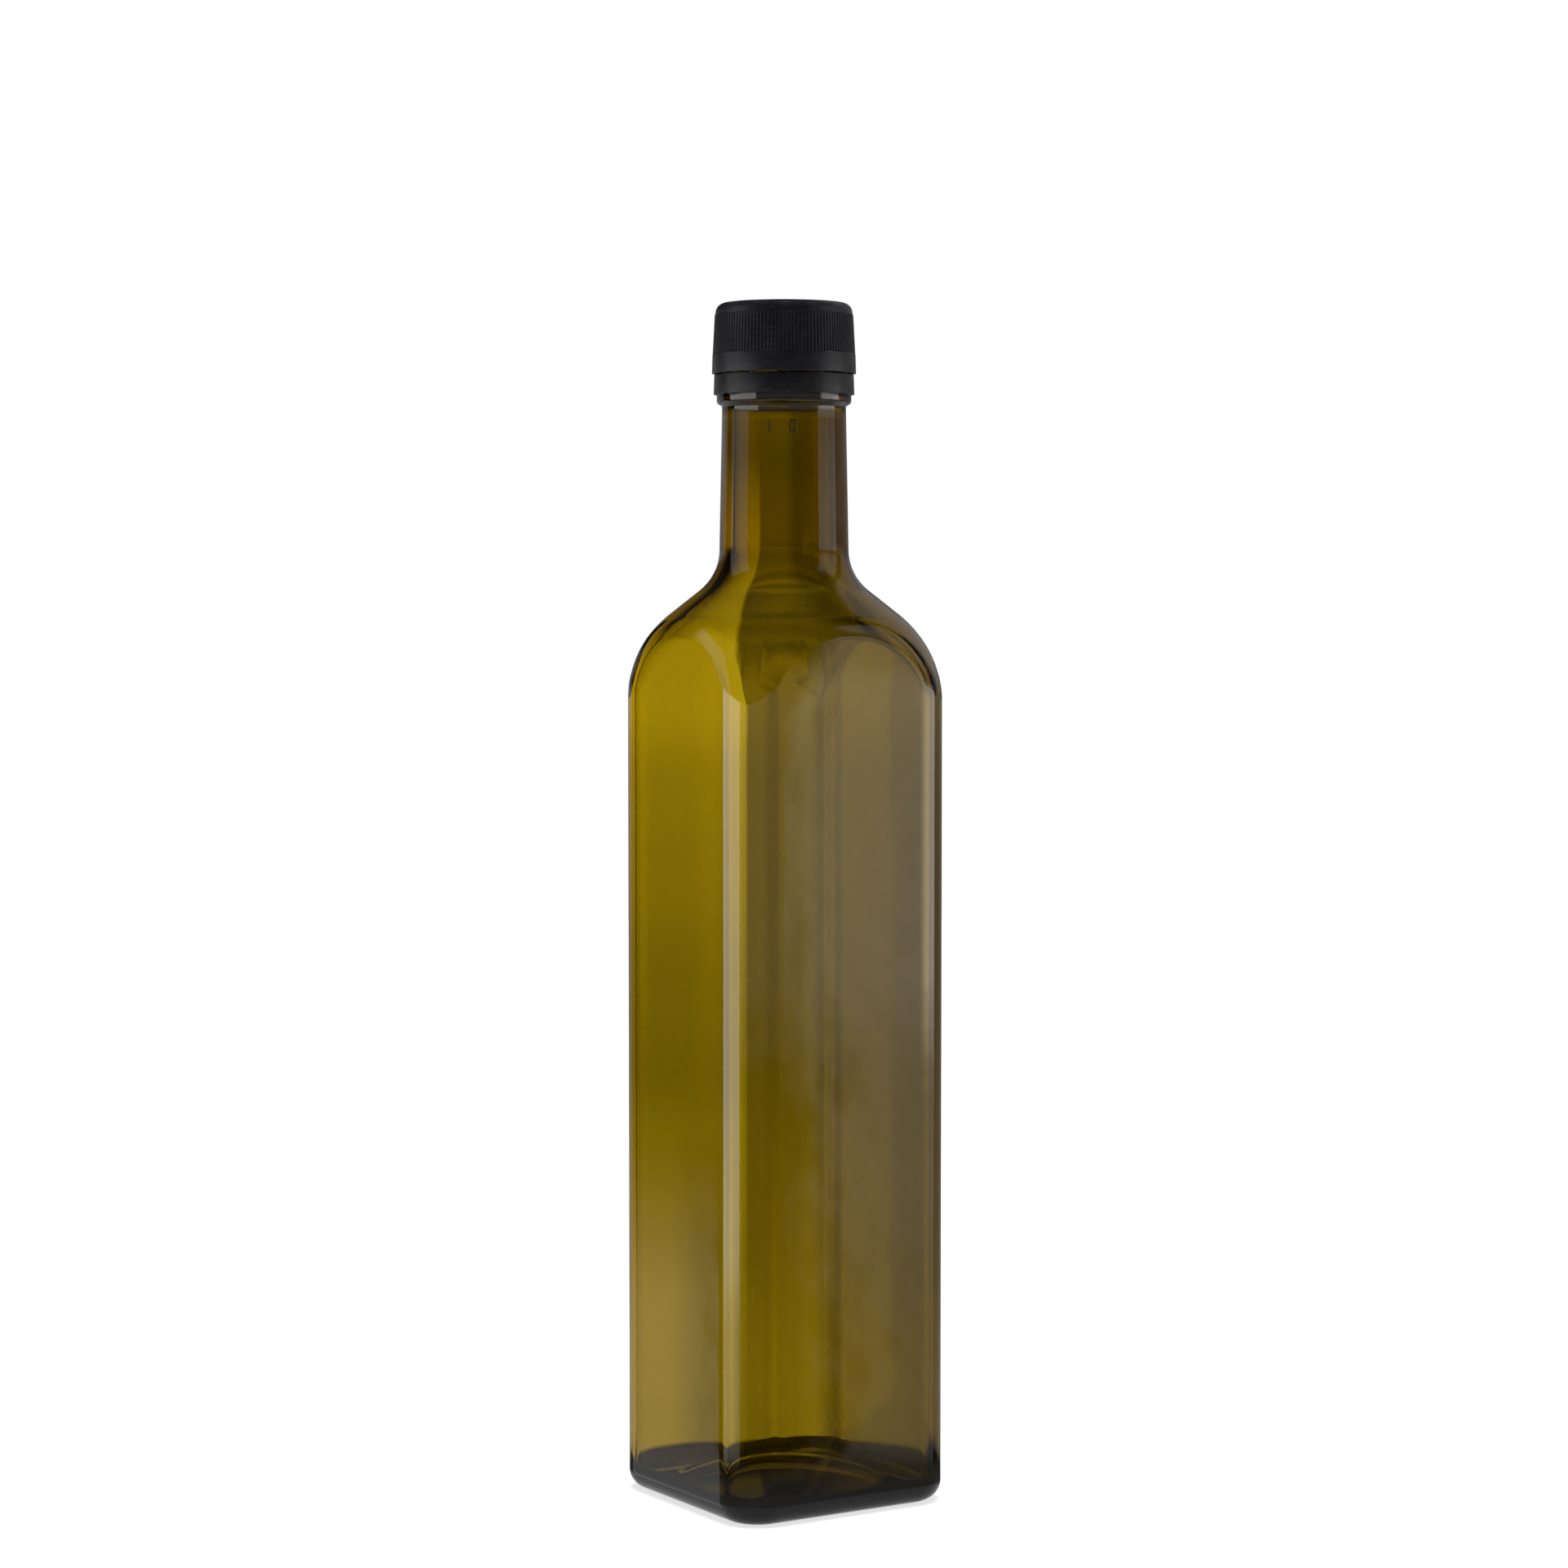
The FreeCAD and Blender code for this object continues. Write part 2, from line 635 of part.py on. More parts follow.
def makeInsert(doc, d):
    """A plug with a flange on the rim, a gutter inside it and a lipped spout in the middle."""
    rim, flangeTop, lipTop = d["glassHeight"], flangeTopHeight(d), spoutTop(d)
    flange, ridge, ridgeHalf = flangeRadius(d), ridgeRadius(d), d["ridgeWidth"] / 2
    plug = d["boreRadius"] - d["plugClearance"]
    well = plug - d["plugWall"]
    foot = rim - d["plugDepth"]
    floor = foot + d["gutterFloor"]
    bore, spout, lip = d["spoutBore"], d["spoutBore"] + d["spoutWall"], well - d["lipGap"]
    step, stretch = d["spoutStep"], d["stretchHeight"]
    widest = spout + step * 2
    lipFoot = lipTop - d["lipThickness"]
    flareFoot = lipFoot - d["lipSlope"]
    body, form = turnedBody(doc, "PourerInsert", [
        (bore, foot),
        (plug - d["plugTaper"], foot),
        (plug, foot + d["plugTaperHeight"]),
        (plug, rim),
        (flange, rim),
        (flange, flangeTop),
        (ridge + ridgeHalf, flangeTop),
        (ridge + ridgeHalf / 2, flangeTop + d["ridgeHeight"]),
        (ridge - ridgeHalf / 2, flangeTop + d["ridgeHeight"]),
        (ridge - ridgeHalf, flangeTop),
        (well + d["mouthBevel"], flangeTop),
        (well, flangeTop - d["mouthBevelDepth"]),
        (well, floor),
        (widest, floor),
        (widest, flareFoot - stretch * 2),
        (spout + step, flareFoot - stretch * 2),
        (spout + step, flareFoot - stretch),
        (spout, flareFoot - stretch),
        (spout, flareFoot),
        (lip, lipFoot),
        (lip, lipTop),
        (lip - d["lipFlat"], lipTop),
        (lip - d["funnelStart"], lipFoot + d["funnelRise"]),
        (bore, flareFoot),
    ])
    margin, half, zero = d["drainMargin"], d["drainWidth"] / 2, asSize(0)
    sketch = newSketch(body, "DrainOutline", "XY_Plane", foot - margin)
    inner, outer = widest + margin, well - margin
    outline(sketch, [
        (zero - outer, zero - half), (zero - inner, zero - half),
        (zero - inner, half), (zero - outer, half),
    ])
    drain = body.newObject("PartDesign::Pocket", "Drain")
    drain.Profile = sketch
    drain.Reversed = True
    drain.setExpression("Length", (d["gutterFloor"] + margin * 2).text)
    doc.recompute()
    checkVolume(form, drain, False, "drain")
    return body


# ---------------------------------------------------------------- whole

def checkDocument(doc):
    for thing in doc.Objects:
        if "Invalid" in thing.State or "Error" in thing.State:
            raise RuntimeError(thing.Name + " is " + ", ".join(thing.State))


def checkSolid(name, shape):
    if shape.isNull() or not shape.isValid() or len(shape.Solids) != 1:
        raise RuntimeError(name + " is not one valid solid")


def build():
    doc = FreeCAD.newDocument("SquareBottle")
    d = makeSheet(doc)
    nodes = {
        "glass_bottle": makeBottle(doc, d),
        "screw_cap": makeCap(doc, d),
        "tamper_band": makeBand(doc, d),
        "pourer_insert": makeInsert(doc, d),
    }
    doc.recompute()
    checkDocument(doc)
    os.makedirs(PARTS_FOLDER, exist_ok=True)
    for node, thing in nodes.items():
        thing.Label = node
        checkSolid(node, thing.Shape)
        thing.Shape.exportStep(PARTS_FOLDER + "/" + node + ".step")
        print(node, "volume", round(thing.Shape.Volume / 1000, 2), "cm3")


build()
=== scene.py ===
import math

import bmesh
import bpy
from mathutils import Matrix, Vector


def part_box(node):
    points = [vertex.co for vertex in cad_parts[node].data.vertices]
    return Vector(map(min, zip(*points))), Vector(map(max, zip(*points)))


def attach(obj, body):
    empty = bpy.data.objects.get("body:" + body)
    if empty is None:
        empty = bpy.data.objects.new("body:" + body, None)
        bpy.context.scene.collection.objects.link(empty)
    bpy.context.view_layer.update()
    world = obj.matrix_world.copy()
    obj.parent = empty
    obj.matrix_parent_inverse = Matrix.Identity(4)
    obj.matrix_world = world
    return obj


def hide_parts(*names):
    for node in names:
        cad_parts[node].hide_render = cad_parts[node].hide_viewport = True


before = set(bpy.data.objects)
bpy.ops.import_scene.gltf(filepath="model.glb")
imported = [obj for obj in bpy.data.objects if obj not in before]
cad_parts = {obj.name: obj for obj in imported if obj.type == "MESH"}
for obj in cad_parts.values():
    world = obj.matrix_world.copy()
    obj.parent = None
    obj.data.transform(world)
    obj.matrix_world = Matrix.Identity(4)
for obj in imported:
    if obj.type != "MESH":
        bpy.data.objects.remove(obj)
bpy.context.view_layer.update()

mm = 0.001

print("stage: camera")

view = {"distance": 875, "height": 205, "turn": 32.3, "pitch": -2.94, "lens": 89.9, "sensor": 36}


def makeCamera():
    turn = math.radians(view["turn"])
    reach = view["distance"] * mm
    data = bpy.data.cameras.new("camera")
    data.lens, data.sensor_width = view["lens"], view["sensor"]
    data.clip_end = 20
    camera = bpy.data.objects.new("camera", data)
    bpy.context.collection.objects.link(camera)
    camera.location = (-math.sin(turn) * reach, -math.cos(turn) * reach, view["height"] * mm)
    camera.rotation_euler = (math.radians(90 + view["pitch"]), 0, -turn)
    bpy.context.scene.camera = camera


makeCamera()

print("stage: tools")


def mix(a, b, share):
    return a + (b - a) * share


def polar(reach, angle, height):
    return reach * math.cos(angle), reach * math.sin(angle), height


def roundedPath(corners, steps=6):
    # corners of (reach, height) or (reach, height, rounding) as one closed path with arcs at the rounded ones
    path = []
    count = len(corners)
    for index, corner in enumerate(corners):
        rounding = corner[2] if len(corner) > 2 else 0
        here = Vector(corner[:2])
        if not rounding:
            path.append(tuple(here))
            continue
        back = (Vector(corners[index - 1][:2]) - here).normalized()
        on = (Vector(corners[(index + 1) % count][:2]) - here).normalized()
        half = back.angle(on) / 2
        run = rounding / math.tan(half)
        centre = here + (back + on).normalized() * (rounding / math.sin(half))
        first, last = here + back * run - centre, here + on * run - centre
        sweep = math.atan2(first.x * last.y - first.y * last.x, first.dot(last))
        start = math.atan2(first.y, first.x)
        for step in range(steps + 1):
            angle = start + sweep * step / steps
            path.append((centre.x + rounding * math.cos(angle), centre.y + rounding * math.sin(angle)))
    return path


def addMesh(name, verts, faces):
    data = bpy.data.meshes.new(name)
    data.from_pydata([[value * mm for value in vert] for vert in verts], [], faces)
    data.update()
    made = bpy.data.objects.new(name, data)
    bpy.context.collection.objects.link(made)
    return made


def smooth(made, angle):
    # smooth faces with sharp edges where two of them turn by more than angle
    for face in made.data.polygons:
        face.use_smooth = True
    mesh = bmesh.new()
    mesh.from_mesh(made.data)
    limit = math.radians(angle)
    for edge in mesh.edges:
        if len(edge.link_faces) == 2 and edge.calc_face_angle(0) > limit:
            edge.smooth = False
    mesh.to_mesh(made.data)
    mesh.free()


def ringMesh(name, rings, closedLoop=False):
    # rings of equal length joined in order; a ring of one point is a pole
    verts, faces, starts = [], [], []
    for ring in rings:
        starts.append(len(verts))
        verts += ring
    pairs = list(zip(range(len(rings)), range(1, len(rings))))
    if closedLoop:
        pairs.append((len(rings) - 1, 0))
    for low, high in pairs:
        a, b = rings[low], rings[high]
        size = max(len(a), len(b))
        for i in range(size):
            j = (i + 1) % size
            if len(a) == 1:
                faces.append((starts[low], starts[high] + j, starts[high] + i))
            elif len(b) == 1:
                faces.append((starts[low] + i, starts[low] + j, starts[high]))
            else:
                faces.append((starts[low] + i, starts[low] + j, starts[high] + j, starts[high] + i))
    return addMesh(name, verts, faces)


onAxis = 1e-6  # a smaller reach is a pole


def turned(name, path, columns=192):
    # path runs counterclockwise in (reach, height), so that faces point outwards
    rings = []
    for reach, height in path:
        if reach < onAxis:
            rings.append([(0, 0, height)])
        else:
            rings.append([polar(reach, math.tau * i / columns, height) for i in range(columns)])
    return ringMesh(name, rings, closedLoop=path[0][0] >= onAxis)


def maths(nodes, links, operation, *values):
    # a Math node; each value is a number or a socket
    node = nodes.new("ShaderNodeMath")
    node.operation = operation
    for index, value in enumerate(values):
        if isinstance(value, (int, float)):
            node.inputs[index].default_value = value
        else:
            links.new(value, node.inputs[index])
    return node.outputs[0]


print("stage: glass")

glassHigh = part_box("glass_bottle")[1] / mm
glass = {
    "half": glassHigh.x, "corner": 9.3, "heel": 4.5, "pushUpRadius": 22.5, "pushUpDepth": 5,
    "wall": 2.4, "floor": 3.6, "innerHeel": 2.5, "riseRadius": 22.5, "rise": 4,
    "shoulderStart": 176.7, "overhang": 0.1, "domeRadius": 27.3, "slope": 51.7,
    "blend": 11.7, "crease": 6, "innerCrease": 5,
    "neckRoot": 14.4, "neckTop": 13.8, "neckWall": 3.4, "bore": 10.8, "boreDepth": 11,
    "rim": glassHigh.z, "rimRounding": 0.7, "land": 13.5, "finishDepth": 15.5,
    "beadHeight": 5.8, "beadDepth": 1.5, "groove": 0.4, "grooveHeight": 0.5,
    "lockRing": 1.1, "lockRingHeight": 0.3, "bevel": 0.25,
    "threadDepth": 1.3, "threadFoot": 2, "threadCrest": 0.9, "threadPitch": 3.6, "threadTurns": 1.5,
    "threadDrop": 2.4, "threadFade": 0.03,
}


def squareOutline(half, corner, flatSteps=36, cornerSteps=20):
    # points of a rounded square with their outward directions, counterclockwise from +X
    points = []
    flat = half - corner
    for side in range(4):
        turn = math.pi / 2 * side
        spin = (math.cos(turn), math.sin(turn))
        for step in range(flatSteps):
            along = mix(-flat, flat, step / flatSteps)
            points.append((half, along, 1, 0, spin))
        for step in range(cornerSteps):
            angle = math.pi / 2 * step / cornerSteps
            across, up = math.cos(angle), math.sin(angle)
            points.append((flat + corner * across, flat + corner * up, across, up, spin))
    return [
        (x * s[0] - y * s[1], x * s[1] + y * s[0], nx * s[0] - ny * s[1], nx * s[1] + ny * s[0])
        for x, y, nx, ny, s in points
    ]


def shoulder(widest, domeRadius, slope, blend, neckFoot, start, lift):
    # meridian of the dome moved inwards by lift, as a function of its length from the widest ring
    centre = widest - domeRadius
    radius = domeRadius - lift
    arcLength = radius * slope
    reachEnd = centre + radius * math.cos(slope)
    heightEnd = start + radius * math.sin(slope)
    blendReach = neckFoot + blend * (1 - math.cos(slope)) - lift * math.cos(slope)
    length = arcLength + (reachEnd - blendReach) / math.sin(slope)

    def place(run):
        if run <= arcLength:
            angle = run / radius
            return centre + radius * math.cos(angle), start + radius * math.sin(angle), angle
        past = run - arcLength
        return reachEnd - past * math.sin(slope), heightEnd + past * math.cos(slope), slope

    def runAt(reach):
        if reach >= reachEnd:
            return radius * math.acos((reach - centre) / radius)
        return arcLength + (reachEnd - reach) / math.sin(slope)

    return place, runAt, length


def squareToNeck(outline, foot, heel, crease, widest, domeRadius, blend, neckFoot, liftRadius, liftHeight):
    # rings of the form that glass and hollow share, from the middle of the foot to the neck's root
    slope = math.radians(glass["slope"])
    place, runAt, length = shoulder(
        widest, domeRadius, slope, blend, neckFoot, glass["shoulderStart"], crease)
    starts, angles = [], []
    for x, y, nx, ny in outline:
        cx, cy = x - crease * nx, y - crease * ny
        starts.append(runAt(math.hypot(cx, cy)))
        angles.append(math.atan2(cy, cx))
    sphere = (liftRadius ** 2 + liftHeight ** 2) / (2 * liftHeight)
    rings = [[(0, 0, foot + liftHeight)]]
    for step in range(1, 13):
        reach = liftRadius * step / 12
        height = foot + liftHeight - sphere + math.sqrt(sphere ** 2 - reach ** 2)
        rings.append([polar(reach, a, height) for a in angles])
    for step in range(1, 5):
        share = step / 5
        ring = []
        for (x, y, nx, ny), a in zip(outline, angles):
            ring.append((
                mix(liftRadius * math.cos(a), x - heel * nx, share),
                mix(liftRadius * math.sin(a), y - heel * ny, share), foot))
        rings.append(ring)
    for step in range(11):
        turn = math.pi / 2 * step / 10
        back, up = heel * (1 - math.sin(turn)), heel * (1 - math.cos(turn))
        rings.append([(x - back * nx, y - back * ny, foot + up) for x, y, nx, ny in outline])
    wallRows = 16
    for step in range(1, wallRows):
        ring = []
        for (x, y, nx, ny), run in zip(outline, starts):
            ring.append((x, y, mix(foot + heel, place(run)[1], step / wallRows)))
        rings.append(ring)
    for step in range(13):
        ring = []
        for (x, y, nx, ny), run, a in zip(outline, starts, angles):
            reach, height, lean = place(run)
            wall = Vector((nx, ny, 0))
            dome = Vector((math.cos(a) * math.cos(lean), math.sin(a) * math.cos(lean), math.sin(lean)))
            facing = wall.slerp(dome, step / 12) if wall.angle(dome) > 1e-4 else wall
            ring.append((
                reach * math.cos(a) + crease * facing.x, reach * math.sin(a) + crease * facing.y,
                height + crease * facing.z))
        rings.append(ring)
    for step in range(1, 25):
        ring = []
        for run, a in zip(starts, angles):
            reach, height, lean = place(mix(run, length, step / 24))
            reach, height = reach + crease * math.cos(lean), height + crease * math.sin(lean)
            ring.append(polar(reach, a, height))
        rings.append(ring)
    top = rings[-1][0][2]
    for step in range(1, 15):
        lean = slope * (1 - step / 14)
        reach = neckFoot + blend * (1 - math.cos(lean))
        height = top + blend * (math.sin(slope) - math.sin(lean))
        rings.append([polar(reach, a, height) for a in angles])
    return rings, angles


def threadLift(angle, height):
    # how far the thread stands out of the land at this angle and height
    first = glass["rim"] - glass["threadDrop"] - glass["threadPitch"] * glass["threadTurns"]
    foot, crest = glass["threadFoot"] / 2, glass["threadCrest"] / 2
    turn = ((angle - math.pi) / math.tau) % 1
    lift = 0
    for lap in range(int(glass["threadTurns"]) + 1):
        at = turn + lap
        if at > glass["threadTurns"]:
            continue
        fade = min(1, at / glass["threadFade"], (glass["threadTurns"] - at) / glass["threadFade"])
        away = abs(height - first - at * glass["threadPitch"])
        share = min(1, max(0, (foot - away) / (foot - crest)))
        lift = max(lift, fade * share * share * (3 - 2 * share))
    return lift * glass["threadDepth"]


def circleRings(path, angles, lift=None):
    # one ring for each point of the path; lift(angle, height) pushes it outwards
    return [
        [polar(reach + (lift(a, height) if lift else 0), a, height) for a in angles] for reach, height in path]


def makeGlass():
    g = glass
    rim, land = g["rim"], g["land"]
    cornerReach = (g["half"] - g["corner"]) * math.sqrt(2) + g["overhang"]  # axis to the middle of a rounding
    beadFoot = rim - g["finishDepth"]
    beadTop = beadFoot + g["beadHeight"]
    bead, ring, groove = land + g["beadDepth"], land + g["lockRing"], land + g["groove"]
    ringFoot = beadTop + g["grooveHeight"]
    ringTop = ringFoot + g["bevel"] + g["lockRingHeight"]
    outer = squareOutline(g["half"], g["corner"])
    rings, angles = squareToNeck(
        outer, 0, g["heel"], g["crease"], cornerReach + g["corner"], g["domeRadius"],
        g["blend"], g["neckRoot"], g["pushUpRadius"], g["pushUpDepth"])
    neckStart = rings[-1][0][2]
    finish = roundedPath([
        (g["neckRoot"], neckStart), (g["neckTop"], beadFoot, 0.6), (bead, beadFoot, 0.9), (bead, beadTop, 0.4),
        (groove, beadTop, 0.12), (groove, ringFoot, 0.12), (ring, ringFoot + g["bevel"], 0.12),
        (ring, ringTop, 0.12), (land, ringTop + g["bevel"], 0.1), (land, rim, g["rimRounding"]),
        (g["bore"], rim, g["rimRounding"]), (g["bore"], rim - g["boreDepth"]),
    ], 5)[1:]
    neckRows = [
        (mix(g["neckRoot"], finish[0][0], i / 12), mix(neckStart, finish[0][1], i / 12)) for i in range(1, 12)]
    below = [p for p in finish if p[1] <= ringTop + g["bevel"] + 0.01 and p[0] > g["bore"] + 1]
    above = finish[len(below):]
    landRows = [(land, mix(below[-1][1], rim - g["rimRounding"], i / 36)) for i in range(1, 36)]
    rings += circleRings(neckRows + below, angles)
    rings += circleRings(landRows, angles, threadLift)
    rings += circleRings(above, angles)
    inner = squareOutline(g["half"] - g["wall"], g["corner"] - g["wall"])
    hollow, innerAngles = squareToNeck(
        inner, g["floor"], g["innerHeel"], g["innerCrease"], cornerReach + g["corner"] - g["wall"],
        g["domeRadius"] - g["wall"], g["blend"] + g["neckWall"], g["neckRoot"] - g["neckWall"],
        g["riseRadius"], g["rise"])
    lowBore = hollow[-1][0]
    lowReach, lowHeight = math.hypot(lowBore[0], lowBore[1]), lowBore[2]
    boreRows = [
        (mix(lowReach, g["bore"], i / 8), mix(lowHeight, rim - g["boreDepth"], i / 8)) for i in range(1, 8)]
    rings += circleRings(boreRows[::-1], innerAngles)
    rings += hollow[::-1]
    made = ringMesh("glassBottle", rings)
    smooth(made, 50)
    return made


glassBottle = makeGlass()

print("stage: finishes")


def newGroup(name, inputs, outputs):
    # a shader node group with named sockets; inputs holds (name, socket type, value)
    group = bpy.data.node_groups.new(name, "ShaderNodeTree")
    for label, kind, value in inputs:
        socket = group.interface.new_socket(label, in_out="INPUT", socket_type=kind)
        if value is not None:
            socket.default_value = value
    for label in outputs:
        group.interface.new_socket(label, in_out="OUTPUT", socket_type="NodeSocketFloat")
    return group, group.nodes.new("NodeGroupInput"), group.nodes.new("NodeGroupOutput")


def noiseAt(nodes, links, place, size, detail):
    # noise whose lumps are about size metres across
    noise = nodes.new("ShaderNodeTexNoise")
    noise.inputs["Detail"].default_value = detail
    links.new(place, noise.inputs["Vector"])
    links.new(maths(nodes, links, "DIVIDE", 1, size), noise.inputs["Scale"])
    return noise.outputs["Fac"]


def makeMouldedSkin():
    # the skin of a moulded piece: fine grain with slow waves under it, and blotches for colour and gloss
    group, inputs, outputs = newGroup("mouldedSkin", [
        ("Place", "NodeSocketVector", None), ("Grain Size", "NodeSocketFloat", 0.0004),
        ("Wave Size", "NodeSocketFloat", 0.006), ("Grain Share", "NodeSocketFloat", 0.3),
        ("Blotch Size", "NodeSocketFloat", 0.004)], ["Height", "Blotch"])
    nodes, links = group.nodes, group.links
    grain = noiseAt(nodes, links, inputs.outputs["Place"], inputs.outputs["Grain Size"], 3)
    waves = noiseAt(nodes, links, inputs.outputs["Place"], inputs.outputs["Wave Size"], 1)
    blotch = noiseAt(nodes, links, inputs.outputs["Place"], inputs.outputs["Blotch Size"], 4)
    fine = maths(nodes, links, "MULTIPLY", grain, inputs.outputs["Grain Share"])
    links.new(maths(nodes, links, "ADD", fine, waves), outputs.inputs["Height"])
    links.new(blotch, outputs.inputs["Blotch"])
    return group


def makeScuffs():
    # thin short scratches that run round and down a handled piece: 0 on clean skin, 1 in a scratch
    group, inputs, outputs = newGroup("scuffs", [
        ("Place", "NodeSocketVector", None), ("Length", "NodeSocketFloat", 0.004),
        ("Width", "NodeSocketFloat", 0.00015), ("Amount", "NodeSocketFloat", 0.3)], ["Mask"])
    nodes, links = group.nodes, group.links
    parts = nodes.new("ShaderNodeSeparateXYZ")
    links.new(inputs.outputs["Place"], parts.inputs[0])
    squeeze = nodes.new("ShaderNodeCombineXYZ")
    for axis in ("X", "Y"):
        along = maths(nodes, links, "DIVIDE", parts.outputs[axis], inputs.outputs["Length"])
        links.new(along, squeeze.inputs[axis])
    links.new(maths(nodes, links, "DIVIDE", parts.outputs["Z"], inputs.outputs["Width"]), squeeze.inputs["Z"])
    noise = nodes.new("ShaderNodeTexNoise")
    noise.inputs["Scale"].default_value = 1
    noise.inputs["Detail"].default_value = 1
    links.new(squeeze.outputs[0], noise.inputs["Vector"])
    start = maths(nodes, links, "SUBTRACT", 1, maths(nodes, links, "MULTIPLY", inputs.outputs["Amount"], 0.4))
    edge = nodes.new("ShaderNodeMapRange")
    links.new(noise.outputs["Fac"], edge.inputs["Value"])
    links.new(maths(nodes, links, "SUBTRACT", start, 0.1), edge.inputs["From Min"])
    links.new(start, edge.inputs["From Max"])
    links.new(edge.outputs[0], outputs.inputs["Mask"])
    return group


def makeMouldMark():
    # a raised line that follows a small upright rectangle on the part of a surface that faces -Y
    group, inputs, outputs = newGroup("mouldMark", [
        ("Place", "NodeSocketVector", None),
        ("Across", "NodeSocketFloat", 0.0), ("Height", "NodeSocketFloat", 0.0),
        ("Half Width", "NodeSocketFloat", 0.0005), ("Half Height", "NodeSocketFloat", 0.001),
        ("Line", "NodeSocketFloat", 0.0002), ("Least Reach", "NodeSocketFloat", 0.0)], ["Height"])
    nodes, links = group.nodes, group.links
    parts = nodes.new("ShaderNodeSeparateXYZ")
    links.new(inputs.outputs["Place"], parts.inputs[0])
    away = []
    for axis, middle, half in (("X", "Across", "Half Width"), ("Z", "Height", "Half Height")):
        offset = maths(nodes, links, "SUBTRACT", parts.outputs[axis], inputs.outputs[middle])
        offset = maths(nodes, links, "ABSOLUTE", offset)
        away.append(maths(nodes, links, "SUBTRACT", offset, inputs.outputs[half]))
    outside = maths(nodes, links, "ABSOLUTE", maths(nodes, links, "MAXIMUM", away[0], away[1]))
    ramp = nodes.new("ShaderNodeMapRange")
    ramp.interpolation_type = "SMOOTHSTEP"
    links.new(outside, ramp.inputs["Value"])
    links.new(inputs.outputs["Line"], ramp.inputs["From Max"])
    ramp.inputs["To Min"].default_value = 1
    ramp.inputs["To Max"].default_value = 0
    forward = maths(nodes, links, "MULTIPLY", parts.outputs["Y"], -1)
    front = maths(nodes, links, "GREATER_THAN", forward, inputs.outputs["Least Reach"])
    links.new(maths(nodes, links, "MULTIPLY", ramp.outputs[0], front), outputs.inputs["Height"])
    return group


def newMaterial(name):
    material = bpy.data.materials.new(name)
    material.use_nodes = True
    nodes = material.node_tree.nodes
    place = nodes.new("ShaderNodeTexCoord").outputs["Object"]
    return material, nodes, material.node_tree.links, nodes["Principled BSDF"], place


def groupIn(nodes, links, group, place, values):
    node = nodes.new("ShaderNodeGroup")
    node.node_tree = group
    links.new(place, node.inputs["Place"])
    for label, value in values.items():
        node.inputs[label].default_value = value
    return node.outputs


def bumpInto(nodes, links, shader, height, distance):
    bump = nodes.new("ShaderNodeBump")
    bump.inputs["Strength"].default_value = 1
    bump.inputs["Distance"].default_value = distance
    links.new(height, bump.inputs["Height"])
    links.new(bump.outputs[0], shader.inputs["Normal"])


def mapped(nodes, links, value, low, high, toLow, toHigh):
    # value between low and high brought between toLow and toHigh, and held at those outside
    node = nodes.new("ShaderNodeMapRange")
    links.new(value, node.inputs["Value"])
    for label, number in (("From Min", low), ("From Max", high), ("To Min", toLow), ("To Max", toHigh)):
        node.inputs[label].default_value = number
    return node.outputs[0]


def twoTone(nodes, links, share, first, second):
    # two colours mixed; each is a colour or a socket
    node = nodes.new("ShaderNodeMix")
    node.data_type = "RGBA"
    links.new(share, node.inputs["Factor"])
    for label, colour in (("A", first), ("B", second)):
        if isinstance(colour, tuple):
            node.inputs[label].default_value = colour
        else:
            links.new(colour, node.inputs[label])
    return node.outputs["Result"]


oliveFinish = {
    "absorbs": (0.867, 0.782, 0.0, 1), "density": 1000, "clear": 0.8, "roughness": (0.006, 0.02),
    "waveSize": 0.014, "waveDepth": 0.00004,
    "marks": ((-0.00325, 0.0, 0.0012), (0.00204, 0.0006, 0.0011)),  # middle across, half width, half height
    # markPaintedShade is the glass colour on the marks' lines, a painted shade for their raised edges
    "markHeight": 0.2394, "markLine": 0.0003, "markReach": 0.0127, "markDepth": 0.00012, "markPaintedShade": 0.15,
}


def makeOliveGlass():
    f = oliveFinish
    material, nodes, links, shader, place = newMaterial("oliveGlass")
    shader.inputs["IOR"].default_value = 1.5
    shader.inputs["Transmission Weight"].default_value = 1
    skin = groupIn(nodes, links, mouldedSkin, place, {
        "Grain Size": 0.003, "Wave Size": f["waveSize"], "Grain Share": 0.08, "Blotch Size": 0.03})
    links.new(mapped(nodes, links, skin["Blotch"], 0.3, 0.7, *f["roughness"]), shader.inputs["Roughness"])
    turnTo = nodes.new("ShaderNodeMapping")
    turnTo.inputs["Rotation"].default_value = (0, 0, math.radians(view["turn"]))
    links.new(place, turnTo.inputs["Vector"])
    height = maths(nodes, links, "MULTIPLY", skin["Height"], f["waveDepth"] / f["markDepth"])
    markShadeMask = 0
    for across, halfWidth, halfHeight in f["marks"]:
        mark = groupIn(nodes, links, mouldMark, turnTo.outputs[0], {
            "Across": across, "Height": f["markHeight"], "Half Width": halfWidth, "Half Height": halfHeight,
            "Line": f["markLine"], "Least Reach": f["markReach"]})
        height = maths(nodes, links, "MAXIMUM", height, mark["Height"])
        markShadeMask = maths(nodes, links, "MAXIMUM", markShadeMask, mark["Height"])
    # the marks' lines are darkened in the glass colour, a painted shade for their raised edges
    links.new(mapped(nodes, links, markShadeMask, 0, 0.6, f["clear"], f["markPaintedShade"]), shader.inputs["Base Color"])
    bumpInto(nodes, links, shader, height, f["markDepth"])
    absorb = nodes.new("ShaderNodeVolumeAbsorption")
    absorb.inputs["Color"].default_value = f["absorbs"]
    absorb.inputs["Density"].default_value = f["density"]
    links.new(absorb.outputs[0], nodes["Material Output"].inputs["Volume"])
    return material


blackFinish = {
    "dark": (0.007, 0.007, 0.0095, 1), "light": (0.012, 0.012, 0.0165, 1), "scuff": (0.04, 0.04, 0.045, 1),
    "roughness": (0.34, 0.46), "grainDepth": 0.00003,
}


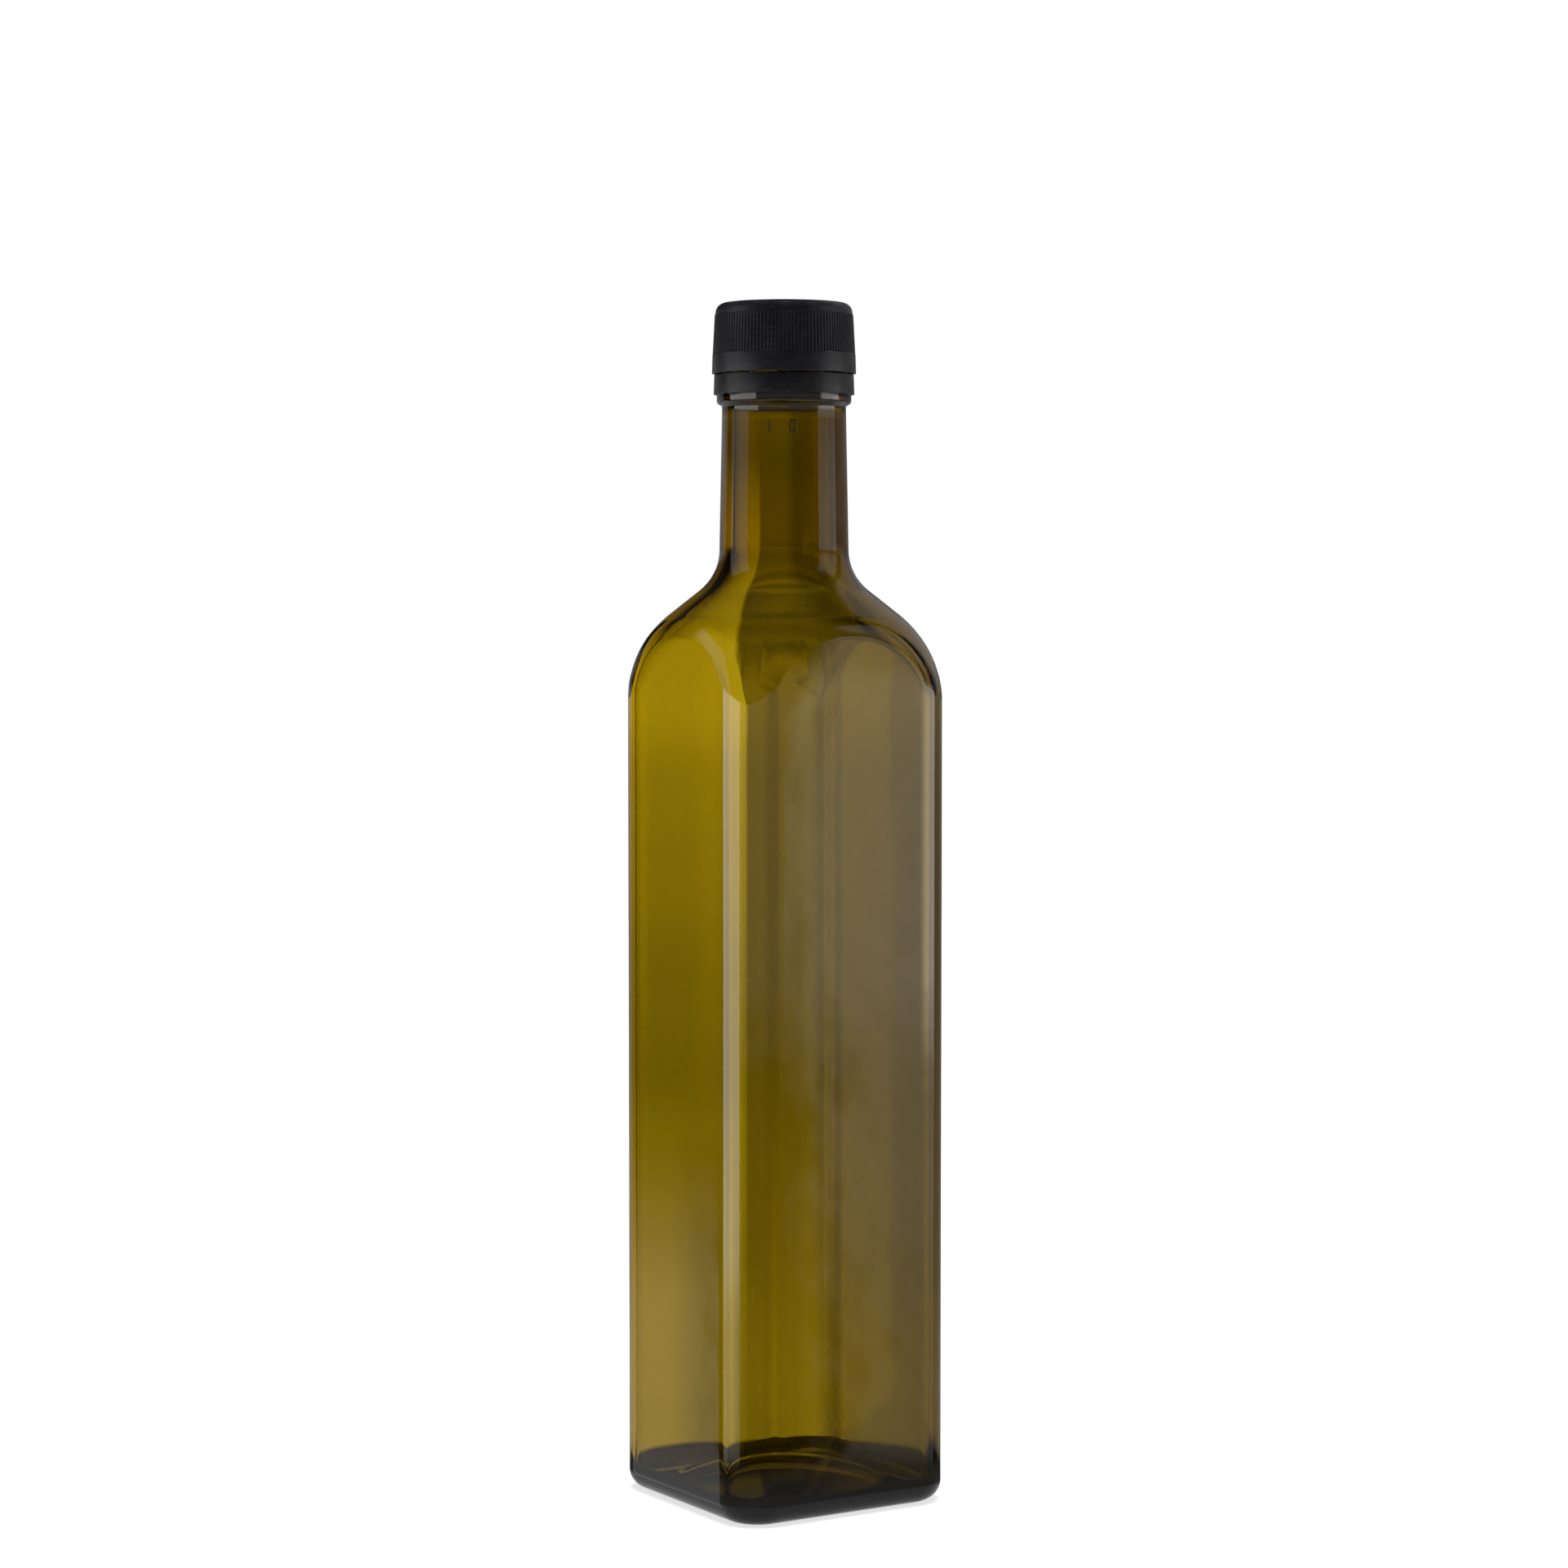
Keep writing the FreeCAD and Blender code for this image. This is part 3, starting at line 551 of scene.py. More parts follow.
def makeBlackPlastic():
    f = blackFinish
    material, nodes, links, shader, place = newMaterial("blackPlastic")
    skin = groupIn(nodes, links, mouldedSkin, place, {
        "Grain Size": 0.0005, "Wave Size": 0.005, "Grain Share": 0.25, "Blotch Size": 0.003})
    worn = groupIn(nodes, links, scuffs, place, {"Length": 0.003, "Width": 0.00012, "Amount": 0.75})
    tone = twoTone(nodes, links, mapped(nodes, links, skin["Blotch"], 0.35, 0.65, 0, 1), f["dark"], f["light"])
    links.new(twoTone(nodes, links, worn["Mask"], tone, f["scuff"]), shader.inputs["Base Color"])
    links.new(mapped(nodes, links, skin["Blotch"], 0.3, 0.7, *f["roughness"]), shader.inputs["Roughness"])
    bumpInto(nodes, links, shader, skin["Height"], f["grainDepth"])
    return material


naturalFinish = {
    "thin": (0.62, 0.68, 0.64, 1), "thick": (0.80, 0.83, 0.80, 1), "roughness": (0.3, 0.45),
    "grainDepth": 0.00003, "scatter": 0.3, "scatterReach": 0.001,
}


def makeNaturalPlastic():
    f = naturalFinish
    material, nodes, links, shader, place = newMaterial("naturalPlastic")
    skin = groupIn(nodes, links, mouldedSkin, place, {
        "Grain Size": 0.0004, "Wave Size": 0.004, "Grain Share": 0.2, "Blotch Size": 0.005})
    tone = twoTone(nodes, links, mapped(nodes, links, skin["Blotch"], 0.35, 0.65, 0, 1), f["thin"], f["thick"])
    links.new(tone, shader.inputs["Base Color"])
    links.new(mapped(nodes, links, skin["Blotch"], 0.3, 0.7, *f["roughness"]), shader.inputs["Roughness"])
    shader.inputs["Subsurface Weight"].default_value = f["scatter"]
    shader.inputs["Subsurface Scale"].default_value = f["scatterReach"]
    bumpInto(nodes, links, shader, skin["Height"], f["grainDepth"])
    return material


mouldedSkin, scuffs, mouldMark = makeMouldedSkin(), makeScuffs(), makeMouldMark()
oliveGlass, blackPlastic, naturalPlastic = makeOliveGlass(), makeBlackPlastic(), makeNaturalPlastic()

print("stage: cap")

cap = {
    "plate": 1.3, "topWall": 0.45, "ribFootWall": 0.93, "ringTopWall": 0.97, "ringHeight": 4.4, "rounding": 2.2,
    "clearance": 0.15, "dish": 0.3, "dishRim": 0.9, "dishSlope": 1,
    "ribs": 120, "ribHeight": 0.24, "ribWidth": 0.62, "ribEdge": 0.3, "ribMargin": 0.25, "ribEnds": 0.7,
    "threadDepth": 1.1, "threadFoot": 1.5, "threadEdge": 0.7, "threadTurns": 1.1, "threadDrop": 1.3,
    "threadSunk": 0.1, "ringEdge": 0.14, "upperBore": 14.1, "narrowing": 0.8,
    "sealReach": 12.65, "sealWall": 0.8, "sealFoot": 261.12,
}
band = {
    "gap": 0.3, "clearance": 0.12, "wallTop": 0.41, "wallFoot": 0.56, "edge": 0.1,
    "hook": 0.95, "hookHeight": 0.35, "hookDrop": 0.425,
    "bridges": 12, "bridgeWidth": 0.7, "bridgeDepth": 0.35, "bridgeRoot": 0.2, "bridgeInset": 0.05,
}
capLow, capHigh = [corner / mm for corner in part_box("screw_cap")]
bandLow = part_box("tamper_band")[0] / mm


def newTree(name, sizes):
    # a Geometry Nodes tree with one named input for each size; sizes holds (name, socket type, value)
    tree = bpy.data.node_groups.new(name, "GeometryNodeTree")
    tree.interface.new_socket("Geometry", in_out="INPUT", socket_type="NodeSocketGeometry")
    for label, kind, value in sizes:
        socket = tree.interface.new_socket(label, in_out="INPUT", socket_type=kind)
        if value is not None:
            socket.default_value = value
    tree.interface.new_socket("Geometry", in_out="OUTPUT", socket_type="NodeSocketGeometry")
    return tree, tree.nodes.new("NodeGroupInput"), tree.nodes.new("NodeGroupOutput")


def finishTree(tree, geometry, inputs, out):
    # every tree ends in real geometry with its material
    real = tree.nodes.new("GeometryNodeRealizeInstances")
    paint = tree.nodes.new("GeometryNodeSetMaterial")
    tree.links.new(geometry, real.inputs[0])
    tree.links.new(real.outputs[0], paint.inputs["Geometry"])
    tree.links.new(inputs.outputs["Finish"], paint.inputs["Material"])
    tree.links.new(paint.outputs[0], out.inputs[0])


def makeRoundTree():
    # copies of one small object turned round Z and joined to the mesh that carries the modifier
    tree, inputs, out = newTree("repeatRound", [
        ("Piece", "NodeSocketObject", None), ("Count", "NodeSocketInt", 12),
        ("First Turn", "NodeSocketFloat", 0.0), ("Finish", "NodeSocketMaterial", None)])
    nodes, links = tree.nodes, tree.links
    points = nodes.new("GeometryNodePoints")
    links.new(inputs.outputs["Count"], points.inputs["Count"])
    index = nodes.new("GeometryNodeInputIndex")
    share = maths(nodes, links, "DIVIDE", index.outputs[0], inputs.outputs["Count"])
    turn = maths(nodes, links, "MULTIPLY_ADD", share, math.tau, inputs.outputs["First Turn"])
    spin = nodes.new("ShaderNodeCombineXYZ")
    links.new(turn, spin.inputs["Z"])
    asRotation = nodes.new("FunctionNodeEulerToRotation")
    links.new(spin.outputs[0], asRotation.inputs[0])
    piece = nodes.new("GeometryNodeObjectInfo")
    links.new(inputs.outputs["Piece"], piece.inputs["Object"])
    copies = nodes.new("GeometryNodeInstanceOnPoints")
    links.new(points.outputs[0], copies.inputs["Points"])
    links.new(piece.outputs["Geometry"], copies.inputs["Instance"])
    links.new(asRotation.outputs[0], copies.inputs["Rotation"])
    join = nodes.new("GeometryNodeJoinGeometry")
    links.new(copies.outputs[0], join.inputs[0])
    links.new(inputs.outputs["Geometry"], join.inputs[0])
    finishTree(tree, join.outputs[0], inputs, out)
    return tree


def makeThreadTree():
    # a bar of four-sided section that climbs round Z, joined to the mesh that carries the modifier
    tree, inputs, out = newTree("threadRound", [
        ("Radius", "NodeSocketFloat", 0.015), ("Start Height", "NodeSocketFloat", 0.0),
        ("Pitch", "NodeSocketFloat", 0.0036), ("Turns", "NodeSocketFloat", 1.0),
        ("Depth", "NodeSocketFloat", 0.001), ("Foot", "NodeSocketFloat", 0.0015),
        ("Edge", "NodeSocketFloat", 0.0007), ("Finish", "NodeSocketMaterial", None)])
    nodes, links = tree.nodes, tree.links
    spiral = nodes.new("GeometryNodeCurveSpiral")
    spiral.inputs["Resolution"].default_value = 96
    links.new(inputs.outputs["Turns"], spiral.inputs["Rotations"])
    links.new(inputs.outputs["Radius"], spiral.inputs["Start Radius"])
    links.new(inputs.outputs["Radius"], spiral.inputs["End Radius"])
    climb = maths(nodes, links, "MULTIPLY", inputs.outputs["Turns"], inputs.outputs["Pitch"])
    links.new(climb, spiral.inputs["Height"])
    upright = nodes.new("GeometryNodeSetCurveNormal")
    upright.mode = "Z_UP"
    links.new(spiral.outputs[0], upright.inputs[0])
    section = nodes.new("GeometryNodeCurvePrimitiveQuadrilateral")
    section.mode = "TRAPEZOID"
    links.new(inputs.outputs["Foot"], section.inputs["Bottom Width"])
    links.new(inputs.outputs["Edge"], section.inputs["Top Width"])
    links.new(inputs.outputs["Depth"], section.inputs["Height"])
    section.inputs["Offset"].default_value = 0
    aim = nodes.new("GeometryNodeTransform")
    aim.inputs["Rotation"].default_value = (0, 0, math.radians(90))
    links.new(section.outputs[0], aim.inputs["Geometry"])
    bar = nodes.new("GeometryNodeCurveToMesh")
    bar.inputs["Fill Caps"].default_value = True
    links.new(upright.outputs[0], bar.inputs["Curve"])
    links.new(aim.outputs[0], bar.inputs["Profile Curve"])
    lift = nodes.new("ShaderNodeCombineXYZ")
    links.new(inputs.outputs["Start Height"], lift.inputs["Z"])
    place = nodes.new("GeometryNodeTransform")
    links.new(bar.outputs[0], place.inputs["Geometry"])
    links.new(lift.outputs[0], place.inputs["Translation"])
    join = nodes.new("GeometryNodeJoinGeometry")
    links.new(place.outputs[0], join.inputs[0])
    links.new(inputs.outputs["Geometry"], join.inputs[0])
    finishTree(tree, join.outputs[0], inputs, out)
    return tree


def applyTree(made, tree, sizes):
    # sets the named inputs, takes the result as a plain mesh and removes the modifier
    modifier = made.modifiers.new(tree.name, "NODES")
    modifier.node_group = tree
    for item in tree.interface.items_tree:
        if item.in_out == "INPUT" and item.name in sizes:
            modifier[item.identifier] = sizes[item.name]
    bpy.context.view_layer.update()
    evaluated = made.evaluated_get(bpy.context.evaluated_depsgraph_get())
    plain = bpy.data.meshes.new_from_object(evaluated)
    made.modifiers.remove(modifier)
    made.data = plain


def bar(name, section, low, high, lean, ends):
    # an upright bar whose section is drawn as (reach, across); it leans by lean and closes in at its ends
    span = high - low
    rings = []
    for share, height in ((ends, low), (1, low + 0.12), (1, high - 0.35), (ends, high)):
        middle = section[0][0]
        at = lean * (height - low) / span
        rings.append([
            (middle + (reach - middle) * share + at, across * share, height) for reach, across in section])
    verts = [vert for ring in rings for vert in ring]
    size = len(section)
    faces = [
        (row * size + i, row * size + (i + 1) % size, (row + 1) * size + (i + 1) % size, (row + 1) * size + i)
        for row in range(len(rings) - 1) for i in range(size)
    ]
    faces += [tuple(range(size))[::-1], tuple(range(len(verts) - size, len(verts)))]
    return addMesh(name, verts, faces)


def makeCap():
    c = cap
    foot, top = capLow.z, capHigh.z
    bore = glass["land"] + glass["threadDepth"] + c["clearance"]
    ringTop = foot + c["ringHeight"]
    wallTop = top - c["rounding"]
    valley = bore + c["topWall"] - c["ribHeight"]
    dish = valley - c["rounding"] - c["dishRim"]
    plateFoot = top - c["plate"]
    closed = glass["rim"] + c["narrowing"]
    seal, sealHalf = c["sealReach"], c["sealWall"] / 2
    path = roundedPath([
        (bore, foot, 0.1), (capHigh.x, foot, c["ringEdge"]), (bore + c["ringTopWall"], ringTop, c["ringEdge"]),
        (bore + c["ribFootWall"] - c["ribHeight"], ringTop), (valley, top, c["rounding"]), (dish, top, 0.5),
        (dish - c["dishSlope"], top - c["dish"], 0.5), (0, top - c["dish"]), (0, plateFoot),
        (seal - sealHalf, plateFoot), (seal - sealHalf, c["sealFoot"], 0.3),
        (seal + sealHalf, c["sealFoot"], 0.3), (seal + sealHalf, plateFoot),
        (c["upperBore"], plateFoot, 0.2), (c["upperBore"], closed), (bore, closed + c["upperBore"] - bore),
    ], 6)
    made = turned("screwCapShell", path, 240)
    over = bore + c["ribFootWall"]
    low, high = ringTop - 0.1, wallTop - c["ribMargin"]
    half, edge = c["ribWidth"] / 2, c["ribEdge"] / 2
    sunk = over - c["ribHeight"] - 0.15
    section = [
        (sunk, -half), (over - c["ribHeight"] * 0.9, -half * 0.95),
        (over - c["ribHeight"] * 0.25, -edge * 1.25), (over, -edge * 0.5), (over, edge * 0.5),
        (over - c["ribHeight"] * 0.25, edge * 1.25), (over - c["ribHeight"] * 0.9, half * 0.95), (sunk, half)]
    lean = (c["topWall"] - c["ribFootWall"]) * (high - low) / (wallTop - ringTop)
    rib = bar("rib", section, low, high, lean, c["ribEnds"])
    glassTurn = glass["rim"] - glass["threadDrop"] - glass["threadPitch"] * (glass["threadTurns"] - 1)
    applyTree(made, makeThreadTree(), {
        "Radius": (bore + c["threadSunk"] - c["threadDepth"] / 2) * mm,
        "Start Height": (glassTurn - c["threadDrop"]) * mm,
        "Pitch": glass["threadPitch"] * mm, "Turns": c["threadTurns"],
        "Depth": (c["threadDepth"] + 2 * c["threadSunk"]) * mm,
        "Foot": c["threadFoot"] * mm, "Edge": c["threadEdge"] * mm, "Finish": blackPlastic})
    applyTree(made, repeatRound, {"Piece": rib, "Count": c["ribs"], "Finish": blackPlastic})
    bpy.data.objects.remove(rib)
    made.name = "screwCap"
    smooth(made, 38)
    return made


def makeBand():
    b = band
    low, top = bandLow.z, capLow.z - b["gap"]
    inside = glass["land"] + glass["beadDepth"] + b["clearance"]
    hookTop = top - b["hookDrop"]
    hookFoot = hookTop - b["hookHeight"]
    path = roundedPath([
        (inside, low, b["edge"]), (inside + b["wallFoot"], low, b["edge"]),
        (inside + b["wallTop"], top, b["edge"]), (inside, top, b["edge"]), (inside, hookTop),
        (inside - b["hook"], hookTop, 0.1),
        (inside - b["hook"], hookFoot, 0.1), (inside, hookFoot),
    ], 5)
    made = turned("tamperBand", path)
    outer = inside + b["wallTop"] - b["bridgeInset"]
    inner, half = outer - b["bridgeDepth"], b["bridgeWidth"] / 2
    section = [(inner, -half), (outer, -half), (outer, half), (inner, half)]
    bridge = bar("bridge", section, top - b["bridgeRoot"], capLow.z + 0.02, 0, 1)
    applyTree(made, repeatRound, {"Piece": bridge, "Count": b["bridges"], "Finish": blackPlastic})
    bpy.data.objects.remove(bridge)
    smooth(made, 38)
    return made


repeatRound = makeRoundTree()
screwCap, tamperBand = makeCap(), makeBand()

print("stage: insert")

insert = {
    "clearance": 0.05, "taper": 0.4, "taperHeight": 0.8, "wall": 0.9, "floor": 0.9, "flangeHeight": 1,
    "ridgeInset": 1.2, "ridgeHeight": 0.12, "ridgeWidth": 0.4, "mouthBevel": 1, "mouthDepth": 0.5,
    "bore": 5.75, "spoutWall": 1.4, "step": 0.2, "stretch": 1.2, "lipGap": 0.2, "lipThickness": 1.1,
    "lipSlope": 1, "lipFlat": 0.6, "funnelStart": 1.2, "funnelRise": 0.4,
}
insertLow, insertHigh = [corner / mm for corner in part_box("pourer_insert")]


def makeInsert():
    n = insert
    foot, lipTop, flange = insertLow.z, insertHigh.z, insertHigh.x
    plug = glass["bore"] - n["clearance"]
    well, floor, flangeTop = plug - n["wall"], foot + n["floor"], glass["rim"] + n["flangeHeight"]
    ridge, ridgeHalf = flange - n["ridgeInset"], n["ridgeWidth"] / 2
    spout, lip = n["bore"] + n["spoutWall"], well - n["lipGap"]
    lipFoot = lipTop - n["lipThickness"]
    flare = lipFoot - n["lipSlope"]
    step, stretch = n["step"], n["stretch"]
    path = roundedPath([
        (n["bore"], foot, 0.2), (plug - n["taper"], foot, 0.2), (plug, foot + n["taperHeight"], 0.4),
        (plug, glass["rim"]), (flange, glass["rim"], 0.15), (flange, flangeTop, 0.3),
        (ridge + ridgeHalf, flangeTop),
        (ridge + ridgeHalf / 2, flangeTop + n["ridgeHeight"], 0.05),
        (ridge - ridgeHalf / 2, flangeTop + n["ridgeHeight"], 0.05), (ridge - ridgeHalf, flangeTop),
        (well + n["mouthBevel"], flangeTop, 0.3), (well, flangeTop - n["mouthDepth"], 0.2), (well, floor, 0.3),
        (spout + step * 2, floor, 0.3), (spout + step * 2, flare - stretch * 2, 0.08),
        (spout + step, flare - stretch * 2, 0.08), (spout + step, flare - stretch, 0.08),
        (spout, flare - stretch, 0.08), (spout, flare, 0.3), (lip, lipFoot, 0.3), (lip, lipTop, 0.3),
        (lip - n["lipFlat"], lipTop, 0.2), (lip - n["funnelStart"], lipFoot + n["funnelRise"], 0.3),
        (n["bore"], flare, 0.5),
    ], 5)
    made = turned("pourerInsert", path)
    smooth(made, 38)
    return made


pourerInsert = makeInsert()

print("stage: joining the frame")

for made, finish, node, slot in (
    (glassBottle, oliveGlass, "glass_bottle", "olive_glass"),
    (screwCap, blackPlastic, "screw_cap", "black_plastic"),
    (tamperBand, blackPlastic, "tamper_band", "black_plastic"),
    (pourerInsert, naturalPlastic, "pourer_insert", "natural_plastic"),
):
    made.data.materials.clear()
    made.data.materials.append(finish)
    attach(made, "root")
    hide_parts(node)
    print(made.name, "triangles", sum(len(face.vertices) - 2 for face in made.data.polygons))

print("stage: studio")

studio = {
    "ambient": 0.12, "lowGlow": 0.55, "lowGlowFrom": (-13, -20),
    "lampHeight": 700, "lampSize": 500, "lampPower": 3.6,
    # paintedShadowColor is a painted contact shadow: the floor's colour under the object for rays through the
    # glass
    "floorColor": 0.8, "floorGlow": 0.7, "floorRadius": 1500, "paintedShadowColor": 0.03,
    "floorFade": (0.12, 0.5), "paintedShadowEdge": (0.053, 0.057),  # metres from the middle
}
panels = {  # azimuth from straight ahead, rightwards, and elevation, in degrees: low, high, soft edge
    "rightBox": {"azimuth": (72, 111, 8), "elevation": (-6.5, -0.6, 2), "strength": 2.1},
    "rightWash": {"azimuth": (72, 115.22, 1.3), "elevation": (-6.3, 4, 3), "strength": 0.85},
    "rightMiddle": {"azimuth": (72, 114.75, 1.4), "elevation": (-9.9, -6.3, 3), "strength": 0.87},
    "rightLow": {"azimuth": (72, 114.4, 1.4), "elevation": (-14, -9.9, 3), "strength": 0.58},
    "leftBox": {"azimuth": (-131, -75, 4), "elevation": (-10.2, -0.6, 2), "strength": 2.7},
    "leftLow": {"azimuth": (-131, -75, 4), "elevation": (-13, -10.2, 2), "strength": 1.1},
    "leftWash": {"azimuth": (-111, -70, 6), "elevation": (0, 40, 2), "strength": 0.6},
    "frontRight": {"azimuth": (108, 190, 4), "elevation": (-6.5, -0.6, 2), "strength": 0.36},
    "frontLeft": {"azimuth": (-190, -128, 8), "elevation": (-6.5, -0.6, 2), "strength": 0.36},
    "rightTop": {"azimuth": (72, 113, 6), "elevation": (8, 40, 10), "strength": 0.6},
    "lowLeft": {"azimuth": (-63.8, -50, 0.9), "elevation": (-22, -9.5, 3), "strength": 0.42},
    "upperRight": {"azimuth": (10, 60, 8), "elevation": (6, 50, 6), "strength": 0.3},
}
backdrop = {  # brightness behind the object by elevation in degrees, which falls off rightwards
    "azimuth": (-52, 70, 8), "fall": (0.3, 2.0, 0.58),
    "glow": (
        (-13.6, 0), (-13, 0.45), (-12.5, 0.5), (-11.6, 0.53), (-9.3, 0.38), (-5.8, 0.31), (-3, 0.34),
        (-1.3, 0.5), (0.3, 0.3), (1, 0.24), (1.8, 0.28), (2.4, 0.36), (4, 0.3), (10, 0.02)),
}
# the near half of the room, which shows through the glass from the other sides
nearRoom = {"azimuth": (88, 200, 24), "elevation": (-75, 14, 10), "strength": 0.36}
cards = {  # white cards that stand close behind the object; only the glass shows them
    "leftCard": {
        "behind": 70, "across": (-110, -12.5, 2), "height": (-11, 215, 20), "color": (0.94, 1, 1, 1),
        "glow": (
            (0, 1.04), (30, 1.08), (50, 0.92), (70, 0.8), (86, 0.62), (109, 0.68), (137, 0.89), (156, 1.0),
            (176, 1.38), (215, 1.3)),
        "lowRight": (-27, -19), "lowTop": (40, 85), "lowFade": 0.4,
    },
    "lowCard": {
        "behind": 72, "across": (-1, 12, 12), "height": (-11, 62, 50), "color": (1, 1, 1, 1),
        "glow": ((0, 0.66), (40, 0.62), (90, 0.5)), "lowRight": (-12, 4), "lowTop": (60, 61), "lowFade": 0,
    },
}
footEdge = 2  # height over which a card's foot fades in
levelRays = {"slope": (-0.12, -0.04), "height": (45, 70)}  # low down the cards are dark to rays that rise


def softWindow(nodes, links, value, low, high, edge):
    # 1 between low and high, falling to 0 over the edge's width
    rise = nodes.new("ShaderNodeMapRange")
    fall = nodes.new("ShaderNodeMapRange")
    for node, near, far in ((rise, low - edge / 2, low + edge / 2), (fall, high + edge / 2, high - edge / 2)):
        node.interpolation_type = "SMOOTHSTEP"
        links.new(value, node.inputs["Value"])
        node.inputs["From Min"].default_value = near
        node.inputs["From Max"].default_value = far
    return maths(nodes, links, "MULTIPLY", rise.outputs[0], fall.outputs[0])


def glowAlong(nodes, links, value, stops):
    # brightness that follows a list of (place, brightness)
    low, high = stops[0][0], stops[-1][0]
    most = max(level for at, level in stops)
    ramp = nodes.new("ShaderNodeValToRGB")
    ramp.color_ramp.interpolation = "EASE"
    elements = ramp.color_ramp.elements
    while len(elements) < len(stops):
        elements.new(0.5)
    for element, (at, level) in zip(elements, stops):
        element.position = (at - low) / (high - low)
        element.color = (level / most,) * 3 + (1,)
    links.new(mapped(nodes, links, value, low, high, 0, 1), ramp.inputs[0])
    return maths(nodes, links, "MULTIPLY", ramp.outputs[0], most)


def facingView(nodes, links, place):
    # turns a place so that +X runs rightwards and +Y away as the camera sees them
    turnBack = nodes.new("ShaderNodeMapping")
    turnBack.inputs["Rotation"].default_value = (0, 0, math.radians(view["turn"]))
    links.new(place, turnBack.inputs["Vector"])
    parts = nodes.new("ShaderNodeSeparateXYZ")
    links.new(turnBack.outputs[0], parts.inputs[0])
    return parts.outputs


def makeWorld():
    world = bpy.data.worlds.new("studio")
    bpy.context.scene.world = world
    world.use_nodes = True
    nodes, links = world.node_tree.nodes, world.node_tree.links
    parts = facingView(nodes, links, nodes.new("ShaderNodeTexCoord").outputs["Generated"])
    around = maths(nodes, links, "ARCTAN2", parts["X"], parts["Y"])
    azimuth = maths(nodes, links, "MULTIPLY", around, 180 / math.pi)
    elevation = maths(nodes, links, "MULTIPLY", maths(nodes, links, "ARCSINE", parts["Z"]), 180 / math.pi)
    near, far, kept = backdrop["fall"]
    behind = maths(
        nodes, links, "MULTIPLY", softWindow(nodes, links, azimuth, *backdrop["azimuth"]),
        mapped(nodes, links, azimuth, near, far, 1, kept))
    glow = maths(nodes, links, "MULTIPLY", behind, glowAlong(nodes, links, elevation, backdrop["glow"]))
    for panel in panels.values():
        across = softWindow(nodes, links, azimuth, *panel["azimuth"])
        up = softWindow(nodes, links, elevation, *panel["elevation"])
        lit = maths(nodes, links, "MULTIPLY", maths(nodes, links, "MULTIPLY", across, up), panel["strength"])
        glow = maths(nodes, links, "ADD", lit, glow)
    path = nodes.new("ShaderNodeLightPath")
    soft = maths(nodes, links, "MULTIPLY", path.outputs["Is Diffuse Ray"], studio["ambient"])
    glossy, through = path.outputs["Is Glossy Ray"], path.outputs["Is Transmission Ray"]
    mirrored = maths(nodes, links, "SUBTRACT", glossy, through)
    low = mapped(nodes, links, elevation, *studio["lowGlowFrom"], 0, studio["lowGlow"])
    soft = maths(nodes, links, "ADD", soft, maths(nodes, links, "MULTIPLY", low, mirrored))
    sideways = maths(nodes, links, "ABSOLUTE", azimuth)
    aside = maths(
        nodes, links, "MULTIPLY", softWindow(nodes, links, sideways, *nearRoom["azimuth"]),
        softWindow(nodes, links, elevation, *nearRoom["elevation"]))
    lit = maths(nodes, links, "MULTIPLY", through, nearRoom["strength"])
    soft = maths(nodes, links, "ADD", soft, maths(nodes, links, "MULTIPLY", aside, lit))
    room = nodes["Background"]
    room.inputs["Color"].default_value = (1, 1, 1, 1)
    links.new(maths(nodes, links, "ADD", glow, soft), room.inputs["Strength"])
    white = nodes.new("ShaderNodeBackground")
    white.inputs["Color"].default_value = (1, 1, 1, 1)
    either = nodes.new("ShaderNodeMixShader")
    links.new(path.outputs["Is Camera Ray"], either.inputs[0])
    links.new(room.outputs[0], either.inputs[1])
    links.new(white.outputs[0], either.inputs[2])
    links.new(either.outputs[0], nodes["World Output"].inputs[0])


